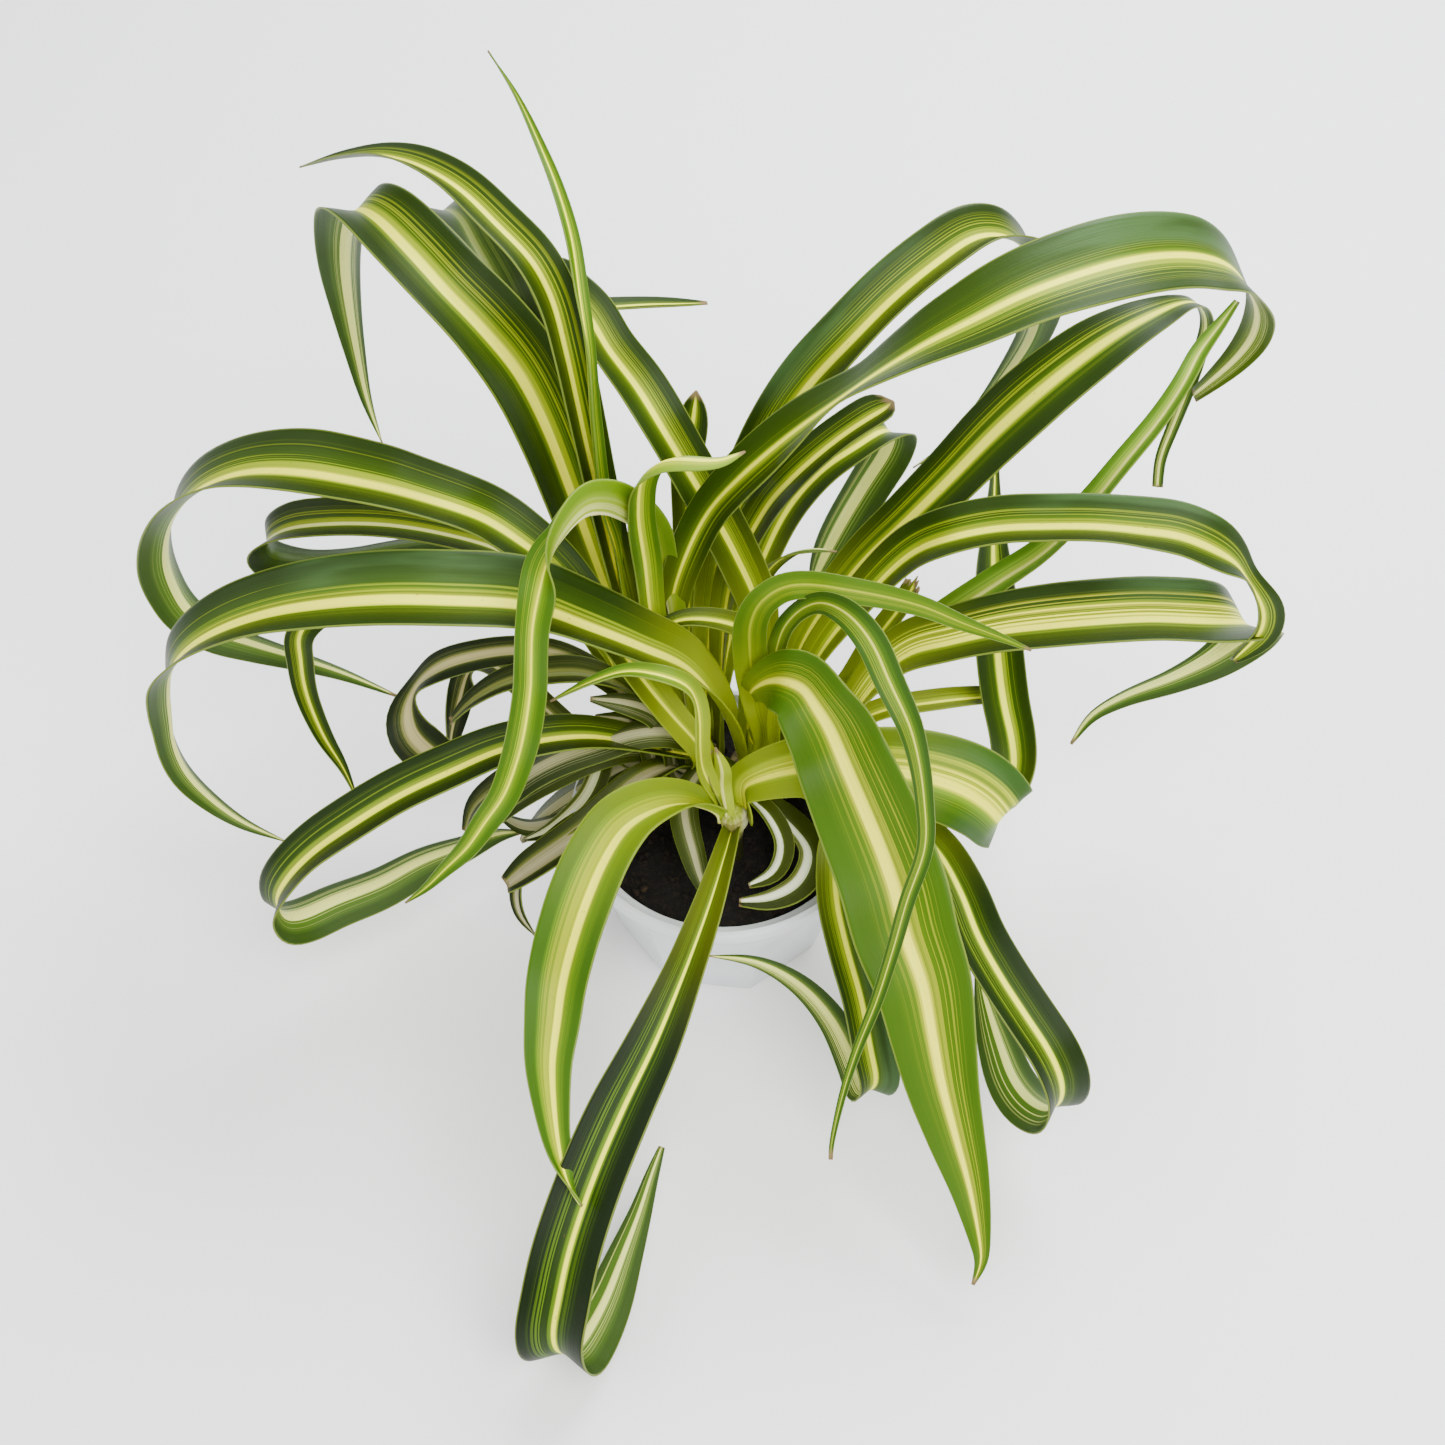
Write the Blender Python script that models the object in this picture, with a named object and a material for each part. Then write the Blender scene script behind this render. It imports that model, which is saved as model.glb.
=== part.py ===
# Curly spider plant in a small white plastic pot.
# Metres, +Z up. The origin is the middle of the pot's flat underside, and -Y is the front.
# Leaf routes are given in millimetres, from the crown outwards.

import math

import bmesh
import bpy
from mathutils import Matrix, Vector, noise

for old in list(bpy.data.objects):
    bpy.data.objects.remove(old, do_unlink=True)

MM = 0.001
GAP = 0.3

# Pot
POT_HEIGHT = 56.0
RIM_RADIUS = 47.5
RIM_BAND = 4.5
RIM_WALL = 2.2
NECK_RADIUS = 43.2
NECK_HEIGHT = 4.5
BODY_TOP_RADIUS = 45.0
BASE_RADIUS = 34.0
WALL = 1.6
FLOOR = 2.0
EDGE_ROUND = 0.8
FACETS = 8
FACET_TURN = math.radians(-75.0)
FACET_SHARE = 0.8
POT_SIDES = 48

# Soil and the crowns that stand in it
SOIL_TOP = 48.0
SOIL_SIDES = 40
SOIL_BUMP = 0.7
HOLE_DEPTH = 5.5
CROWN_RADIUS = 12.8
CROWN_TOP = 51.6
CROWN_SIDES = 28
CROWN_PLACES = {"a": (14.0, 20.0), "b": (-12.5, 23.0)}
LEAF_START = CROWN_TOP + 0.5

# Plantlet stalk with its swollen node
STALK_FOOT = (4.0, -12.0)
STALK_LEAN = (-1.0, -6.0)
STALK_RADIUS = 3.0
NODE_RADIUS = 5.0
NODE_TOP = 82.0
NODE_SIDES = 16

# Blades
BLADE_THICKNESS = 0.8
SHEATH_FOLD = 38.0
SHEATH_SHARE = 0.22
TIP_WIDTH = 1.0
STEP_LENGTH = 12.0
STEP_TURN = math.radians(20.0)
FINE_STEPS = 12
LEVELLING = 0.12


def plain_material(name, colour, roughness):
    material = bpy.data.materials.new(name)
    material.use_nodes = True
    shader = material.node_tree.nodes["Principled BSDF"]
    shader.inputs["Base Color"].default_value = (*colour, 1.0)
    shader.inputs["Roughness"].default_value = roughness
    shader.inputs["Metallic"].default_value = 0.0
    return material


def add_object(name, mesh_bm, material, smooth_angle=35.0):
    bmesh.ops.recalc_face_normals(mesh_bm, faces=mesh_bm.faces)
    mesh = bpy.data.meshes.new(name)
    mesh_bm.to_mesh(mesh)
    mesh_bm.free()
    mesh.materials.append(material)
    mesh.shade_smooth()
    mesh.set_sharp_from_angle(angle=math.radians(smooth_angle))
    piece = bpy.data.objects.new(name, mesh)
    bpy.context.collection.objects.link(piece)
    return piece


def turned_solid(profile, sides, shape=None, centre=(0.0, 0.0)):
    """A closed solid from (radius, height, facet share) rows, ending on the axis at both ends."""
    solid = bmesh.new()
    rings = []
    for radius, height, share in profile:
        ring = []
        for k in range(sides):
            angle = 2.0 * math.pi * k / sides
            reach = radius * (shape(angle, share) if shape else 1.0)
            x = centre[0] + reach * math.cos(angle)
            y = centre[1] + reach * math.sin(angle)
            ring.append(solid.verts.new((x * MM, y * MM, height * MM)))
        rings.append(ring)
    for low, high in zip(rings, rings[1:]):
        for k in range(sides):
            n = (k + 1) % sides
            solid.faces.new((low[k], low[n], high[n], high[k]))
    solid.faces.new(list(reversed(rings[0])))
    solid.faces.new(rings[-1])
    return solid


def facet_shape(angle, share):
    """1 on the round, less on the flats between the pot's eight corners."""
    span = 2.0 * math.pi / FACETS
    offset = (angle - FACET_TURN) % span - span / 2.0
    flat = math.cos(span / 2.0) / math.cos(offset)
    return 1.0 + share * (flat - 1.0)


def make_pot():
    rim_under = POT_HEIGHT - RIM_BAND
    shoulder = rim_under - NECK_HEIGHT
    inner_top = RIM_RADIUS - RIM_WALL
    inner_base = BASE_RADIUS * math.cos(math.pi / FACETS) - WALL
    neck_inner = NECK_RADIUS - WALL
    profile = [
        (BASE_RADIUS - EDGE_ROUND, 0.0, FACET_SHARE),
        (BASE_RADIUS, EDGE_ROUND, FACET_SHARE),
        (BODY_TOP_RADIUS, shoulder - EDGE_ROUND, FACET_SHARE),
        (BODY_TOP_RADIUS - EDGE_ROUND, shoulder, FACET_SHARE / 2.0),
        (NECK_RADIUS, shoulder + EDGE_ROUND, 0.0),
        (NECK_RADIUS, rim_under, 0.0),
        (RIM_RADIUS - EDGE_ROUND / 2.0, rim_under, 0.0),
        (RIM_RADIUS, rim_under + EDGE_ROUND, 0.0),
        (RIM_RADIUS, POT_HEIGHT - EDGE_ROUND, 0.0),
        (RIM_RADIUS - EDGE_ROUND, POT_HEIGHT, 0.0),
        (inner_top + EDGE_ROUND / 2.0, POT_HEIGHT, 0.0),
        (inner_top, POT_HEIGHT - EDGE_ROUND, 0.0),
        (inner_top, rim_under + 2.0, 0.0),
        (neck_inner, rim_under + 1.0, 0.0),
        (neck_inner, shoulder - 1.0, 0.0),
        (inner_base, FLOOR, 0.0),
    ]
    pot = turned_solid(profile, POT_SIDES, facet_shape)
    return add_object("pot", pot, plain_material("pot_plastic", (0.86, 0.87, 0.88), 0.38))


def inner_radius(height):
    """The pot's inner wall below its neck."""
    shoulder = POT_HEIGHT - RIM_BAND - NECK_HEIGHT - 1.0
    inner_base = BASE_RADIUS * math.cos(math.pi / FACETS) - WALL
    share = min(1.0, (height - FLOOR) / (shoulder - FLOOR))
    return inner_base + share * (NECK_RADIUS - WALL - inner_base)


def hole_cutter(place, radius):
    middle = (place[0] * MM, place[1] * MM, SOIL_TOP * MM)
    bpy.ops.mesh.primitive_cylinder_add(vertices=CROWN_SIDES, radius=radius * MM,
                                        depth=2.0 * HOLE_DEPTH * MM, location=middle)
    return bpy.context.object


def make_soil():
    """A plug of potting soil with a slightly uneven top and a plain hole for each crown."""
    low = FLOOR + GAP
    rows = [(inner_radius(low) - GAP, low, 0.0)]
    rows.append((inner_radius(SOIL_TOP) - GAP, POT_HEIGHT - RIM_BAND - NECK_HEIGHT - 1.5, 0.0))
    for share in (1.0, 0.8, 0.6, 0.4, 0.2):
        rows.append(((inner_radius(SOIL_TOP) - GAP) * share, SOIL_TOP, 0.0))
    soil = turned_solid(rows, SOIL_SIDES)
    for vert in soil.verts:
        if vert.co.z > (SOIL_TOP - 0.1) * MM:
            bump = noise.noise(vert.co / (9.0 * MM))
            vert.co.z += SOIL_BUMP * bump * MM
    top = [f for f in soil.faces if f.normal.z > 0.5 or f.calc_center_median().z > (SOIL_TOP - 1.0) * MM]
    bmesh.ops.triangulate(soil, faces=top)
    piece = add_object("soil", soil, plain_material("potting_soil", (0.018, 0.012, 0.009), 0.95))
    holes = [(place, CROWN_RADIUS + GAP) for place in CROWN_PLACES.values()]
    holes.append((STALK_FOOT, STALK_RADIUS + GAP))
    for place, radius in holes:
        cutter = hole_cutter(place, radius)
        cut = piece.modifiers.new("hole", "BOOLEAN")
        cut.operation = "DIFFERENCE"
        cut.object = cutter
        bpy.context.view_layer.objects.active = piece
        bpy.ops.object.modifier_apply(modifier=cut.name)
        bpy.data.objects.remove(cutter, do_unlink=True)
    return piece


def make_crown(name, place):
    foot = SOIL_TOP - HOLE_DEPTH + GAP
    profile = [
        (CROWN_RADIUS - 1.0, foot, 0.0),
        (CROWN_RADIUS, foot + 1.0, 0.0),
        (CROWN_RADIUS, CROWN_TOP - 0.4, 0.0),
        (CROWN_RADIUS - 0.4, CROWN_TOP, 0.0),
    ]
    crown = turned_solid(profile, CROWN_SIDES, centre=place)
    return add_object(name, crown, plain_material(name + "_root", (0.20, 0.16, 0.09), 0.7))


def make_stalk():
    """The plantlet's short stalk, which swells into the pale node that its leaves leave."""
    foot = SOIL_TOP - HOLE_DEPTH + GAP
    rows = [
        (STALK_RADIUS - 0.5, foot),
        (STALK_RADIUS, foot + 1.0),
        (STALK_RADIUS, SOIL_TOP + 2.0),
        (STALK_RADIUS * 0.9, NODE_TOP - 20.0),
        (NODE_RADIUS * 0.8, NODE_TOP - 13.0),
        (NODE_RADIUS, NODE_TOP - 8.0),
        (NODE_RADIUS * 0.9, NODE_TOP - 3.5),
        (NODE_RADIUS * 0.55, NODE_TOP - 0.6),
        (NODE_RADIUS * 0.2, NODE_TOP),
    ]
    stalk = turned_solid([(r, z, 0.0) for r, z in rows], NODE_SIDES, centre=STALK_FOOT)
    rise = NODE_TOP - SOIL_TOP - 2.0
    for vert in stalk.verts:
        share = max(0.0, (vert.co.z / MM - SOIL_TOP - 2.0) / rise)
        vert.co.x += STALK_LEAN[0] * share * MM
        vert.co.y += STALK_LEAN[1] * share * MM
    return add_object("plantlet_stalk", stalk, plain_material("stalk_flesh", (0.42, 0.50, 0.16), 0.5))


def smooth_path(points):
    """Centripetal Catmull-Rom curve through the route's own points."""
    first = points[0] * 2.0 - points[1]
    last = points[-1] * 2.0 - points[-2]
    knots = [first, *points, last]
    path = []
    for p0, p1, p2, p3 in zip(knots, knots[1:], knots[2:], knots[3:]):
        t1 = math.sqrt((p1 - p0).length)
        t2 = t1 + math.sqrt((p2 - p1).length)
        t3 = t2 + math.sqrt((p3 - p2).length)
        for k in range(FINE_STEPS):
            t = t1 + (t2 - t1) * k / FINE_STEPS
            a1 = p0.lerp(p1, t / t1)
            a2 = p1.lerp(p2, (t - t1) / (t2 - t1))
            a3 = p2.lerp(p3, (t - t2) / (t3 - t2))
            b1 = a1.lerp(a2, t / t2)
            b2 = a2.lerp(a3, (t - t1) / (t3 - t1))
            path.append(b1.lerp(b2, (t - t1) / (t2 - t1)))
    path.append(points[-1].copy())
    return path


def blade_frames(path, heading):
    """Tangent, side and face normal at each point. The side stays level wherever the blade allows it."""
    tangents = []
    for before, after in zip([path[0], *path[:-1]], [*path[1:], path[-1]]):
        tangents.append((after - before).normalized())
    side = tangents[0].cross(-heading)
    frames = []
    for tangent in tangents:
        side = (side - tangent * side.dot(tangent)).normalized()
        level = tangent.cross(Vector((0.0, 0.0, 1.0)))
        if level.length > 0.05:
            share = LEVELLING * level.length_squared
            level.normalize()
            if level.dot(side) < 0.0:
                level.negate()
            side = side.lerp(level, share)
            side = (side - tangent * side.dot(tangent)).normalized()
        frames.append((tangent, side, side.cross(tangent)))
    return frames


def blade_width(share, width, base, widest, taper):
    if share < widest:
        rise = share / widest
        return width * (base + (1.0 - base) * rise * (2.0 - rise))
    fall = (share - widest) / (1.0 - widest)
    return max(TIP_WIDTH, width * (1.0 - fall ** taper))


def twist_at(share, twist):
    """Degrees of extra turn about the blade's own line, from (share, degrees) pairs."""
    rows = [(0.0, 0.0), *twist, (1.0, twist[-1][1] if twist else 0.0)]
    for (s0, a0), (s1, a1) in zip(rows, rows[1:]):
        if share <= s1:
            return a0 + (a1 - a0) * (share - s0) / max(1e-6, s1 - s0)
    return rows[-1][1]


def chosen_stations(path, frames):
    """Indexes along the path: closer together where the blade bends."""
    picked = [0]
    run = 0.0
    for k in range(1, len(path)):
        run += (path[k] - path[k - 1]).length
        last = frames[picked[-1]]
        turn = frames[k][2].angle(last[2], 0.0) + frames[k][0].angle(last[0], 0.0)
        if run >= STEP_LENGTH or turn >= STEP_TURN:
            picked.append(k)
            run = 0.0
    if picked[-1] != len(path) - 1:
        picked.append(len(path) - 1)
    return picked


def add_blade(name, start, route, heading, width, base, widest, taper, fold, twist, material):
    """A folded ribbon with a midrib gutter, as one closed solid."""
    foot = Vector((start[0], start[1], start[2]))
    points = [foot, foot + Vector((0.0, 0.0, 3.0)), *[Vector(p) for p in route]]
    path = smooth_path(points)
    frames = blade_frames(path, heading)
    lengths = [0.0]
    for before, after in zip(path, path[1:]):
        lengths.append(lengths[-1] + (after - before).length)
    blade = bmesh.new()
    sections = []
    for k in chosen_stations(path, frames):
        share = lengths[k] / lengths[-1]
        half = blade_width(share, width, base, widest, taper) / 2.0
        closing = max(0.0, 1.0 - share / SHEATH_SHARE)
        bend = math.radians(fold + (SHEATH_FOLD - fold) * closing)
        turn = Matrix.Rotation(math.radians(twist_at(share, twist)), 3, frames[k][0])
        side = turn @ frames[k][1]
        normal = turn @ frames[k][2]
        lift = normal * half * math.sin(bend)
        reach = side * half * math.cos(bend)
        skin = normal * BLADE_THICKNESS / 2.0
        row = []
        low = path[k] - lift / 2.0
        for centre in (low - reach + lift, low, low + reach + lift):
            row.append(blade.verts.new((centre + skin) * MM))
        for centre in (low + reach + lift, low, low - reach + lift):
            row.append(blade.verts.new((centre - skin) * MM))
        sections.append(row)
    for row, beyond in zip(sections, sections[1:]):
        for k in range(2):
            top = (row[k], row[k + 1], beyond[k + 1], beyond[k])
            under = (row[5 - k], row[4 - k], beyond[4 - k], beyond[5 - k])
            for a, b, c, d in (top, under):
                blade.faces.new((a, b, c))
                blade.faces.new((a, c, d))
        for a, b in ((2, 3), (5, 0)):
            blade.faces.new((row[a], row[b], beyond[b]))
            blade.faces.new((row[a], beyond[b], beyond[a]))
    for row in (sections[0], sections[-1]):
        for k in (0, 1):
            blade.faces.new((row[k], row[k + 1], row[4 - k]))
            blade.faces.new((row[k], row[4 - k], row[5 - k]))
    return add_object(name, blade, material)


YOUNG = plain_material("leaf_young", (0.28, 0.44, 0.03), 0.42)
GROWN = plain_material("leaf_grown", (0.13, 0.27, 0.03), 0.42)
AGED = plain_material("leaf_aged", (0.14, 0.16, 0.05), 0.5)


def leaf(name, crown, ring, width, route, base=0.4, widest=0.5, taper=2.2, fold=18.0, twist=(),
         material=GROWN):
    """One leaf of a crown: ring is the distance and direction of its foot from the crown's middle."""
    radius, direction = ring
    angle = math.radians(direction)
    heading = Vector((math.cos(angle), math.sin(angle), 0.0))
    place = CROWN_PLACES[crown]
    start = (place[0] + radius * heading.x, place[1] + radius * heading.y, LEAF_START)
    return add_blade("leaf_" + name, start, route, heading, width, base, widest, taper, fold, twist,
                     material)


def node_leaf(name, direction, height, reach, width, route, base=0.4, widest=0.5, taper=2.2, fold=18.0,
              twist=(), material=YOUNG):
    """A leaf that leaves the plantlet's swollen node."""
    angle = math.radians(direction)
    heading = Vector((math.cos(angle), math.sin(angle), 0.0))
    share = (height - SOIL_TOP - 2.0) / (NODE_TOP - SOIL_TOP - 2.0)
    x = STALK_FOOT[0] + STALK_LEAN[0] * share + reach * heading.x
    y = STALK_FOOT[1] + STALK_LEAN[1] * share + reach * heading.y
    start = (x, y, height)
    return add_blade("leaf_" + name, start, route, heading, width, base, widest, taper, fold, twist,
                     material)


def back_crown_leaves():
    leaf("spear", "b", (5.5, 190), 10.0, base=0.4, widest=0.3, taper=1.1, fold=30.0, material=YOUNG, route=[
        (-22, 26, 86), (-28, 29, 121), (-30, 29, 143), (-32, 26, 164), (-34, 30, 192), (-35, 39, 208),
        (-37, 47, 220), (-39, 57, 230), (-43, 70, 236), (-49, 88, 238), (-57, 113, 236), (-67, 140, 232)])
    leaf("back_arch", "b", (7.0, 132), 15.0, base=0.35, widest=0.6, taper=2.0, fold=34.0, route=[
        (-25, 32, 90), (-30, 40, 113), (-35, 44, 148), (-37, 43, 168), (-39, 44, 186), (-41, 45, 203),
        (-44, 49, 217), (-49, 53, 227), (-59, 63, 232), (-70, 78, 232), (-83, 95, 227), (-97, 112, 218),
        (-112, 127, 206), (-128, 141, 192)])
    leaf("back_fold", "b", (10.0, 128), 28.0, base=0.2, widest=0.45, taper=1.7, fold=24.0, route=[
        (-30, 46, 83), (-38, 54, 110), (-44, 58, 136), (-50, 62, 159), (-57, 64, 179), (-66, 66, 194),
        (-76, 71, 204), (-86, 81, 209), (-98, 97, 209), (-107, 110, 202), (-113, 119, 187),
        (-117, 125, 169), (-119, 129, 149), (-119, 128, 131), (-117, 122, 115), (-112, 112, 104)])
    leaf("back_low", "b", (12.0, 106), 16.0, base=0.3, widest=0.6, route=[
        (-24, 48, 76), (-34, 60, 100), (-43, 66, 130), (-50, 71, 158), (-56, 73, 181), (-62, 79, 196),
        (-70, 94, 200), (-77, 112, 197), (-84, 127, 188), (-90, 141, 172), (-94, 146, 157),
        (-97, 145, 144)])
    leaf("high_left", "b", (9.0, 185), 28.0, base=0.22, widest=0.45, taper=2.2, route=[
        (-31, 26, 80), (-41, 31, 110), (-56, 34, 141), (-65, 33, 151), (-72, 31, 158), (-82, 31, 163),
        (-91, 31, 167), (-104, 34, 168), (-117, 38, 167), (-129, 43, 163), (-140, 48, 157),
        (-151, 52, 149), (-160, 55, 140), (-168, 58, 128), (-174, 61, 114), (-177, 62, 102),
        (-177, 62, 90), (-174, 60, 81), (-166, 57, 74), (-154, 56, 68), (-139, 55, 62), (-125, 53, 57),
        (-108, 48, 52)])
    leaf("dark_left", "b", (12.0, 154), 13.0, base=0.35, route=[
        (-35, 40, 76), (-51, 55, 97), (-70, 62, 106), (-92, 72, 110), (-112, 76, 110), (-132, 79, 106),
        (-146, 80, 98), (-151, 82, 88), (-146, 86, 80), (-129, 93, 74), (-109, 98, 72), (-93, 100, 70)])
    leaf("small_round", "b", (12.0, 84), 11.0, base=0.4, widest=0.8, taper=5.0, route=[
        (-11, 61, 80), (-11, 76, 106), (-11, 83, 126), (-9, 86, 140), (-8, 89, 149)])
    leaf("front_curl", "b", (4.0, 290), 13.0, base=0.3, widest=0.45, taper=2.2, fold=14.0,
         material=YOUNG, route=[
        (-13, 22, 86), (-19, 27, 119), (-19, 21, 138), (-19, 5, 168), (-20, -9, 190), (-22, -17, 204),
        (-28, -20, 211), (-35, -21, 212), (-41, -21, 206), (-45, -20, 194), (-49, -20, 176),
        (-50, -21, 159), (-52, -23, 143), (-55, -27, 128), (-63, -29, 108), (-73, -34, 87), (-83, -36, 72),
        (-96, -37, 57)])
    leaf("young_hook", "b", (1.5, 130), 10.0, base=0.3, widest=0.5, taper=2.6, material=YOUNG, route=[
        (-17, 29, 82), (-21, 32, 109), (-22, 32, 131), (-23, 26, 161), (-20, 19, 182), (-14, 18, 188),
        (-8, 17, 189), (-1, 18, 188), (6, 24, 186)])
    leaf("right_arch", "b", (7.0, 40), 34.0, base=0.12, widest=0.5, taper=1.6, route=[
        (-9, 34, 70), (-17, 42, 83), (-16, 44, 100), (-12, 43, 121), (-5, 42, 143), (4, 37, 163),
        (15, 34, 180), (26, 31, 195), (38, 29, 209), (50, 28, 220), (63, 30, 227), (76, 34, 231),
        (89, 39, 232), (103, 46, 231), (117, 55, 226), (131, 66, 218), (143, 74, 208), (152, 80, 197),
        (157, 85, 185), (158, 89, 173), (155, 91, 163), (150, 90, 155), (143, 89, 146), (139, 89, 134),
        (138, 88, 122), (138, 85, 112)])
    leaf("back_right", "b", (11.5, 57), 20.0, base=0.22, widest=0.5, taper=2.0, route=[
        (-5, 47, 77), (-3, 61, 90), (0, 70, 103), (7, 76, 121), (15, 75, 145), (24, 73, 166),
        (35, 71, 185), (47, 77, 196), (60, 86, 202), (72, 95, 204), (83, 102, 199), (92, 109, 187),
        (98, 116, 170), (100, 123, 153), (99, 127, 137), (94, 128, 122), (86, 124, 110), (75, 117, 100),
        (64, 114, 92)])
    leaf("mid_right", "b", (12.0, 8), 14.0, base=0.3, widest=0.85, taper=9.0, route=[
        (-1, 38, 78), (2, 54, 102), (11, 64, 120), (20, 59, 142), (31, 61, 154), (41, 64, 161),
        (50, 69, 163)])
    leaf("striped_fold", "b", (12.3, 32), 17.0, base=0.25, widest=0.8, taper=4.0, route=[
        (2, 57, 70), (10, 71, 84), (20, 83, 103), (31, 87, 118), (42, 90, 126), (50, 95, 128),
        (55, 101, 122), (54, 102, 112), (47, 97, 100), (40, 90, 90), (34, 82, 82), (29, 74, 76)])
    leaf("under_curl", "b", (12.0, 183), 9.0, base=0.35, widest=0.65, taper=1.6, twist=((0.5, 0),
         (0.66, 70)), route=[
        (-36, 27, 66), (-55, 40, 84), (-84, 48, 100), (-114, 46, 103), (-129, 40, 94), (-132, 38, 82),
        (-132, 36, 69), (-129, 32, 55), (-125, 27, 43), (-121, 21, 33)])


def right_crown_leaves():
    leaf("tall_left", "a", (8.5, 118), 18.0, base=0.3, widest=0.4, taper=1.7, route=[
        (12, 40, 80), (11, 46, 99), (5, 51, 115), (-2, 55, 130), (-10, 59, 146), (-17, 62, 160),
        (-24, 69, 169), (-32, 73, 180), (-38, 79, 188), (-45, 84, 192), (-51, 94, 190), (-59, 106, 180),
        (-64, 116, 168), (-63, 123, 156), (-55, 129, 148), (-39, 137, 142), (-24, 143, 138),
        (-5, 148, 134)])
    leaf("big_left", "a", (7.5, 190), 31.0, base=0.2, widest=0.4, taper=2.0, route=[
        (2, 17, 84), (-8, 15, 107), (-21, 10, 123), (-37, 7, 137), (-53, 5, 148), (-77, 1, 155),
        (-95, 1, 155), (-111, 2, 152), (-127, 4, 146), (-142, 5, 138), (-154, 6, 128), (-162, 7, 117),
        (-166, 8, 104), (-168, 8, 92), (-169, 6, 80), (-167, 4, 68), (-161, 2, 57), (-152, -1, 49),
        (-138, -4, 42)])
    leaf("heart_hook", "a", (3.5, 90), 12.0, base=0.3, widest=0.4, taper=2.0, material=YOUNG, route=[
        (13, 22, 80), (10, 11, 96), (8, 10, 118), (8, 6, 138), (12, 1, 152), (18, 0, 159), (26, -1, 162),
        (37, -3, 162), (48, -4, 159), (61, -5, 153), (72, -5, 146), (86, -4, 137)])
    leaf("heart_thread", "a", (3.5, 310), 10.0, base=0.35, widest=0.45, taper=1.8, fold=24.0,
         material=YOUNG, route=[
        (16, 5, 108), (16, 2, 128), (17, -7, 150), (21, -15, 167), (27, -22, 178), (35, -29, 182),
        (40, -37, 180), (45, -44, 173), (49, -51, 163), (52, -56, 149), (53, -61, 133), (51, -66, 120),
        (46, -73, 107), (41, -82, 92), (36, -92, 77), (32, -104, 66), (30, -119, 55)])
    leaf("big_front", "a", (7.5, 278), 31.0, base=0.15, widest=0.55, taper=1.7, fold=16.0,
         material=YOUNG, route=[
        (18, 3, 84), (18, 1, 106), (19, 0, 121), (23, -2, 128), (27, -10, 129), (31, -22, 124),
        (36, -34, 116), (42, -46, 108), (47, -56, 99), (51, -67, 89), (56, -77, 79), (59, -87, 68),
        (62, -97, 57), (66, -107, 46), (70, -117, 36), (73, -128, 26), (74, -133, 19), (72, -137, 12)])
    leaf("right_drop", "a", (12.0, 308), 17.0, base=0.25, widest=0.55, taper=2.6, route=[
        (35, -3, 66), (53, -17, 75), (63, -32, 80), (69, -47, 80), (73, -60, 78), (79, -71, 74),
        (86, -81, 69), (93, -90, 63), (97, -95, 55), (98, -97, 46), (96, -96, 37), (91, -89, 30),
        (87, -80, 27), (84, -68, 27), (81, -55, 29), (79, -44, 31)])
    leaf("right_long", "a", (9.5, 19), 12.0, base=0.35, widest=0.35, taper=2.5, fold=24.0, route=[
        (30, 25, 66), (44, 33, 74), (56, 43, 83), (71, 47, 95), (86, 51, 106), (98, 52, 118),
        (109, 56, 132), (119, 61, 147), (128, 66, 160), (134, 71, 170), (136, 76, 178), (137, 81, 184)])
    leaf("right_low_arch", "a", (8.0, 68), 19.0, base=0.3, widest=0.5, taper=3.0, route=[
        (25, 43, 84), (42, 54, 108), (56, 57, 126), (68, 61, 140), (79, 66, 152), (90, 71, 162),
        (102, 77, 170), (114, 83, 176), (127, 90, 178), (141, 102, 172), (152, 111, 160),
        (157, 116, 146), (157, 116, 130)])
    leaf("right_upper", "a", (6.0, 20), 19.0, base=0.25, widest=0.5, taper=2.2, route=[
        (27, 31, 88), (42, 38, 112), (55, 40, 130), (66, 35, 143), (79, 34, 148), (93, 31, 152),
        (106, 28, 155), (120, 26, 155), (134, 24, 152), (144, 22, 147), (151, 21, 140), (154, 20, 132),
        (155, 19, 125), (155, 18, 119)])
    leaf("right_wide", "a", (9.0, 345), 29.0, base=0.2, widest=0.45, taper=1.7, route=[
        (33, 14, 75), (54, 29, 96), (69, 28, 105), (83, 28, 110), (98, 28, 113), (113, 28, 115),
        (128, 29, 115), (144, 31, 112), (156, 35, 107), (165, 38, 101), (169, 39, 94), (170, 40, 87),
        (164, 40, 82), (157, 40, 77), (146, 39, 72), (134, 39, 67), (125, 38, 62), (119, 35, 56),
        (114, 31, 48)])
    leaf("low_right", "a", (12.0, 8), 10.0, base=0.45, widest=0.5, taper=3.0, route=[
        (35, 24, 62), (50, 30, 67), (66, 32, 69), (77, 33, 68), (84, 34, 63)])
    leaf("back_sweep", "a", (12.0, 338), 20.0, base=0.3, widest=0.45, taper=1.5, route=[
        (35, 13, 61), (48, 12, 64), (62, 10, 62), (78, 9, 61), (86, 14, 64), (89, 28, 68), (89, 46, 73),
        (89, 67, 78), (90, 90, 82), (93, 124, 84)])
    leaf("torn_stub", "a", (12.0, 42), 9.0, base=0.45, widest=0.7, taper=9.0, material=AGED, route=[
        (26, 37, 70), (40, 49, 88), (59, 52, 103)])
    leaf("thin_arch", "a", (12.0, 95), 5.0, base=0.7, widest=0.5, taper=4.0, route=[
        (11, 52, 76), (13, 58, 98), (20, 55, 112), (28, 54, 116), (35, 54, 115)])
    leaf("beside_pot", "a", (12.0, 284), 14.0, base=0.35, widest=0.45, taper=2.2, material=AGED, route=[
        (27, -12, 70), (31, -30, 74), (34, -45, 72), (37, -58, 66), (41, -69, 57), (44, -80, 46),
        (46, -86, 36), (43, -85, 28), (40, -77, 30), (33, -66, 39), (23, -59, 48), (10, -56, 56),
        (-5, -57, 61)])
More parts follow.
